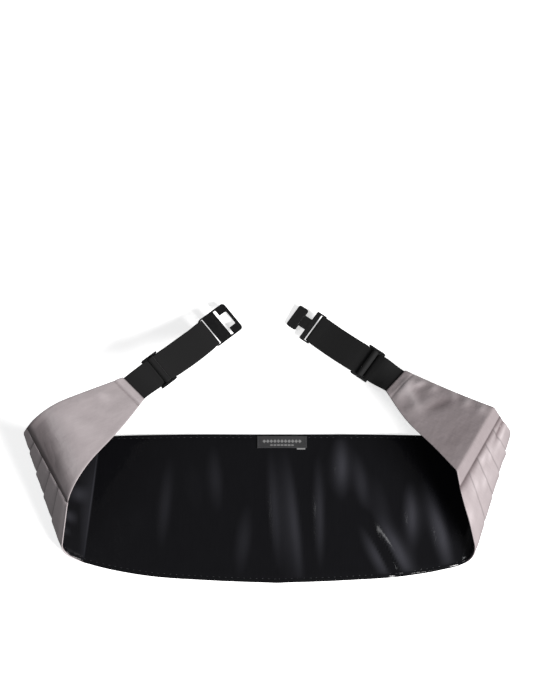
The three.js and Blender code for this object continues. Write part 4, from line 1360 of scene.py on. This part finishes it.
class CUMMERBUND_OT_clasp(bpy.types.Operator):
    """Make the open clasp: the slotted half on the left and the hook on the right"""
    bl_idname = "cummerbund.clasp"
    bl_label = "Clasp"

    def execute(self, context):
        cloth = Cloth(cloth_sizes())
        for side, name, shape in (("left", "ClaspSlotted", self.slotted),
                                  ("right", "ClaspHook", self.hook)):
            strap = Strap(cloth, fitting_sizes(), side)
            bm = shape(strap.sizes, strap)
            strap.seat(bm, strap.bar_x, strap.clasp_height)
            node = "clasp_slot" if side == "left" else "clasp_hook"
            piece = add_piece(name, bm, material("black plastic"), "black_plastic", node)
            moulded(piece, strap.sizes.edge_round)
        return {"FINISHED"}

    def slit(self, s, tall):
        bar_end = s.clasp_bar / 2
        wide = s.elastic_width / 2 + s.side_clearance
        return block((bar_end, -wide, -tall), (bar_end + s.clasp_slit, wide, tall), 0.0005)

    def slotted(self, s, strap):
        half, thick = s.clasp_width / 2, s.clasp_thickness / 2
        bar_end = s.clasp_bar / 2
        reach = strap.slot_reach()
        plate = block((-bar_end, -half, -thick), (reach, half, thick), s.clasp_corner)
        cross_start = bar_end + s.clasp_slit + s.clasp_bridge
        cross_end = cross_start + s.cross_width
        cross, stem = s.cross_length / 2, s.stem_width / 2
        tall = 2 * s.clasp_thickness
        openings = [self.slit(s, tall),
                    block((cross_start, -cross, -tall), (cross_end, cross, tall), 0.0006),
                    block((cross_end - 0.001, -stem, -tall), (cross_end + s.stem_length, stem, tall),
                          0.0012, "far")]
        rib_start = cross_start - 0.0040
        rib = block((rib_start, -half + 0.002, thick - 0.0005),
                    (rib_start + 0.0016, half - 0.002, thick + 0.0003), 0.0004)
        return combined(plate, [("UNION", rib)] + [("DIFFERENCE", cut) for cut in openings])

    def hook(self, s, strap):
        half, thick = s.clasp_width / 2, s.clasp_thickness / 2
        bar_end = s.clasp_bar / 2
        body_end = bar_end + s.clasp_slit + s.shoulder
        head_start = body_end + s.neck_length
        reach = strap.hook_reach()
        tall = 2 * s.clasp_thickness
        body = block((-bar_end, -half, -thick), (body_end, half, thick), 0.0009)
        neck = block((body_end - 0.001, -s.neck_width / 2, -thick),
                     (head_start + 0.001, s.neck_width / 2, thick - 0.0004))
        head = block((head_start, -s.head_width / 2, -thick), (reach, s.head_width / 2, thick),
                     s.head_corner)
        return combined(body, [("UNION", neck), ("UNION", head), ("DIFFERENCE", self.slit(s, tall))])


class CUMMERBUND_OT_stitches(bpy.types.Operator):
    """Make the stitches along the lining's edge and at the ends of the label"""
    bl_idname = "cummerbund.stitches"
    bl_label = "Stitches"

    def execute(self, context):
        cloth = Cloth(cloth_sizes())
        dark = thread_finish("dark thread", colours().dark_thread)
        add_piece("LiningStitches", self.edge_stitches(cloth), dark, "lining_satin")
        add_piece("LabelStitches", self.label_stitches(cloth), dark, "label_weave")
        return {"FINISHED"}

    def run(self, bm, cloth, x, y, w, thread):
        """Stitches along flat points, each one from a point to the next but one."""
        points = cloth.place(x, y, w)
        lift = cloth.place(x, y, w + 0.001)
        for start, end, raised in zip(points[::2], points[1::2], lift[::2]):
            along = unit(end - start)
            up = unit(raised - start)
            across = np.cross(up, along)
            size = np.linalg.norm(end - start) / 2
            basis = Matrix([[*row, 0] for row in np.array([along * size, across * thread,
                                                           np.cross(along, across) * thread]).T]
                           + [[0, 0, 0, 1]])
            matrix = Matrix.Translation((start + end) / 2) @ basis
            bmesh.ops.create_uvsphere(bm, u_segments=6, v_segments=4, radius=1, matrix=matrix)

    def edge_stitches(self, cloth):
        bm = bmesh.new()
        sizes = cloth.sizes
        for sign, side in ((-1, "left"), (1, "right")):
            far = cloth.halves[side]["tip"][0] - 0.006
            count = int(far / 0.005)
            starts = np.linspace(0.001, far, count)
            x = sign * np.stack([starts, starts + 0.0017], axis=1).ravel()
            top, bottom = cloth.edges_at(x)
            inset = cloth.lining_inset(x) + sizes.stitch_line
            for y in (top - inset, bottom + inset):
                raised = ridge_height(RIPPLES, cloth, x, y, sizes.ripple)
                self.run(bm, cloth, x, y, cloth.lining_inside - 0.0002 + raised, 0.00013)
        bmesh.ops.recalc_face_normals(bm, faces=bm.faces[:])
        return bm

    def label_stitches(self, cloth):
        bm = bmesh.new()
        sizes = cloth.sizes
        top = -sizes.label_margin - 0.0012
        starts = np.linspace(top, top - sizes.label_width + 0.0034, 8)
        y = np.stack([starts, starts - 0.0012], axis=1).ravel()
        for shift in (-1, 1):
            x = np.full_like(y, sizes.label_shift + shift * (sizes.label_length / 2 - 0.0011))
            raised = ridge_height(RIPPLES, cloth, x, y, sizes.ripple)
            self.run(bm, cloth, x, y, cloth.lining_inside + 0.0008 + raised, 0.00014)
        bmesh.ops.recalc_face_normals(bm, faces=bm.faces[:])
        return bm


class CUMMERBUND_OT_stage(bpy.types.Operator):
    """Make the pale floor, the lights and the camera"""
    bl_idname = "cummerbund.stage"
    bl_label = "Stage"

    def execute(self, context):
        settings = context.scene.cummerbund_stage
        self.floor(settings)
        for row in LIGHTS:
            self.light(row["name"], getattr(settings, row["power"]), row["place"], row["size"],
                       row["tone"])
        context.scene.view_settings.view_transform = "Standard"
        self.surroundings(context, settings)
        self.camera(context, settings)
        return {"FINISHED"}

    def floor(self, settings):
        finish = Finish("pale floor", Roughness=0.9, Specular_IOR_Level=0.1,
                        Emission_Color=(1, 1, 1, 1), Emission_Strength=settings.floor_glow)
        spread = finish.speckle(0.05)
        finish.set("Base Color", finish.mix(spread, tint(settings.floor, 0.99),
                                            tint(settings.floor, 1.01)))
        bm = bmesh.new()
        bmesh.ops.create_grid(bm, x_segments=1, y_segments=1, size=4)
        bmesh.ops.translate(bm, vec=(0, 0, -0.0003), verts=bm.verts[:])
        mesh = bpy.data.meshes.new("Floor")
        bm.to_mesh(mesh)
        bm.free()
        mesh.materials.append(finish.material)
        floor = bpy.data.objects.new("Floor", mesh)
        bpy.context.scene.collection.objects.link(floor)
        floor.visible_diffuse = False
        floor.visible_glossy = False

    def light(self, name, power, place, size, tone):
        lamp = bpy.data.lights.new(name, "AREA")
        lamp.energy = power
        lamp.shape = "RECTANGLE"
        lamp.size, lamp.size_y = size
        lamp.color = tone
        made = bpy.data.objects.new(name, lamp)
        made.location = place
        made.rotation_euler = Vector(place).to_track_quat("Z", "Y").to_euler()
        bpy.context.scene.collection.objects.link(made)

    def surroundings(self, context, settings):
        world = bpy.data.worlds.new("Studio")
        world.use_nodes = True
        background = world.node_tree.nodes["Background"]
        background.inputs["Color"].default_value = (1, 1, 1, 1)
        background.inputs["Strength"].default_value = settings.ambient
        context.scene.world = world

    def camera(self, context, settings):
        cloth = Cloth(cloth_sizes())
        lens = bpy.data.cameras.new("Camera")
        lens.lens = settings.lens
        lens.clip_start = 0.05
        made = bpy.data.objects.new("Camera", lens)
        elevation = settings.elevation
        looking = Vector((0, math.cos(elevation), -math.sin(elevation)))
        upward = Vector((0, math.sin(elevation), math.cos(elevation)))
        target = Vector(cloth.origin)
        made.location = (target - looking * settings.distance + upward * settings.camera_up
                         - Vector((settings.camera_left, 0, 0)))
        made.rotation_euler = (math.pi / 2 - elevation, 0, 0)
        context.scene.collection.objects.link(made)
        context.scene.camera = made


STEPS = [CUMMERBUND_OT_front, CUMMERBUND_OT_lining, CUMMERBUND_OT_end_pieces, CUMMERBUND_OT_label,
         CUMMERBUND_OT_elastics, CUMMERBUND_OT_sliders, CUMMERBUND_OT_clasp,
         CUMMERBUND_OT_stitches, CUMMERBUND_OT_stage]


class CUMMERBUND_PT_pieces(bpy.types.Panel):
    """The pieces of the cummerbund"""
    bl_idname = "CUMMERBUND_PT_pieces"
    bl_label = "Cummerbund"
    bl_space_type = "VIEW_3D"
    bl_region_type = "UI"
    bl_category = "Cummerbund"

    def draw(self, context):
        column = self.layout.column()
        for step in STEPS:
            column.operator(step.bl_idname)


GROUPS = {"cummerbund_cloth": ClothSizes, "cummerbund_fittings": FittingSizes,
          "cummerbund_colours": FinishColours, "cummerbund_stage": StageSettings}


def register():
    for group in GROUPS.values():
        bpy.utils.register_class(group)
    for name, group in GROUPS.items():
        setattr(bpy.types.Scene, name, PointerProperty(type=group))
    for made in [*STEPS, CUMMERBUND_PT_pieces]:
        bpy.utils.register_class(made)


def unregister():
    for made in [CUMMERBUND_PT_pieces, *reversed(STEPS)]:
        bpy.utils.unregister_class(made)
    for name in GROUPS:
        delattr(bpy.types.Scene, name)
    for group in reversed(GROUPS.values()):
        bpy.utils.unregister_class(group)


def main():
    register()
    bpy.ops.cummerbund.front()
    bpy.ops.cummerbund.lining()
    bpy.ops.cummerbund.end_pieces()
    bpy.ops.cummerbund.label()
    bpy.ops.cummerbund.elastics()
    bpy.ops.cummerbund.sliders()
    bpy.ops.cummerbund.clasp()
    bpy.ops.cummerbund.stitches()
    bpy.ops.cummerbund.stage()


if __name__ == "__main__":
    main()
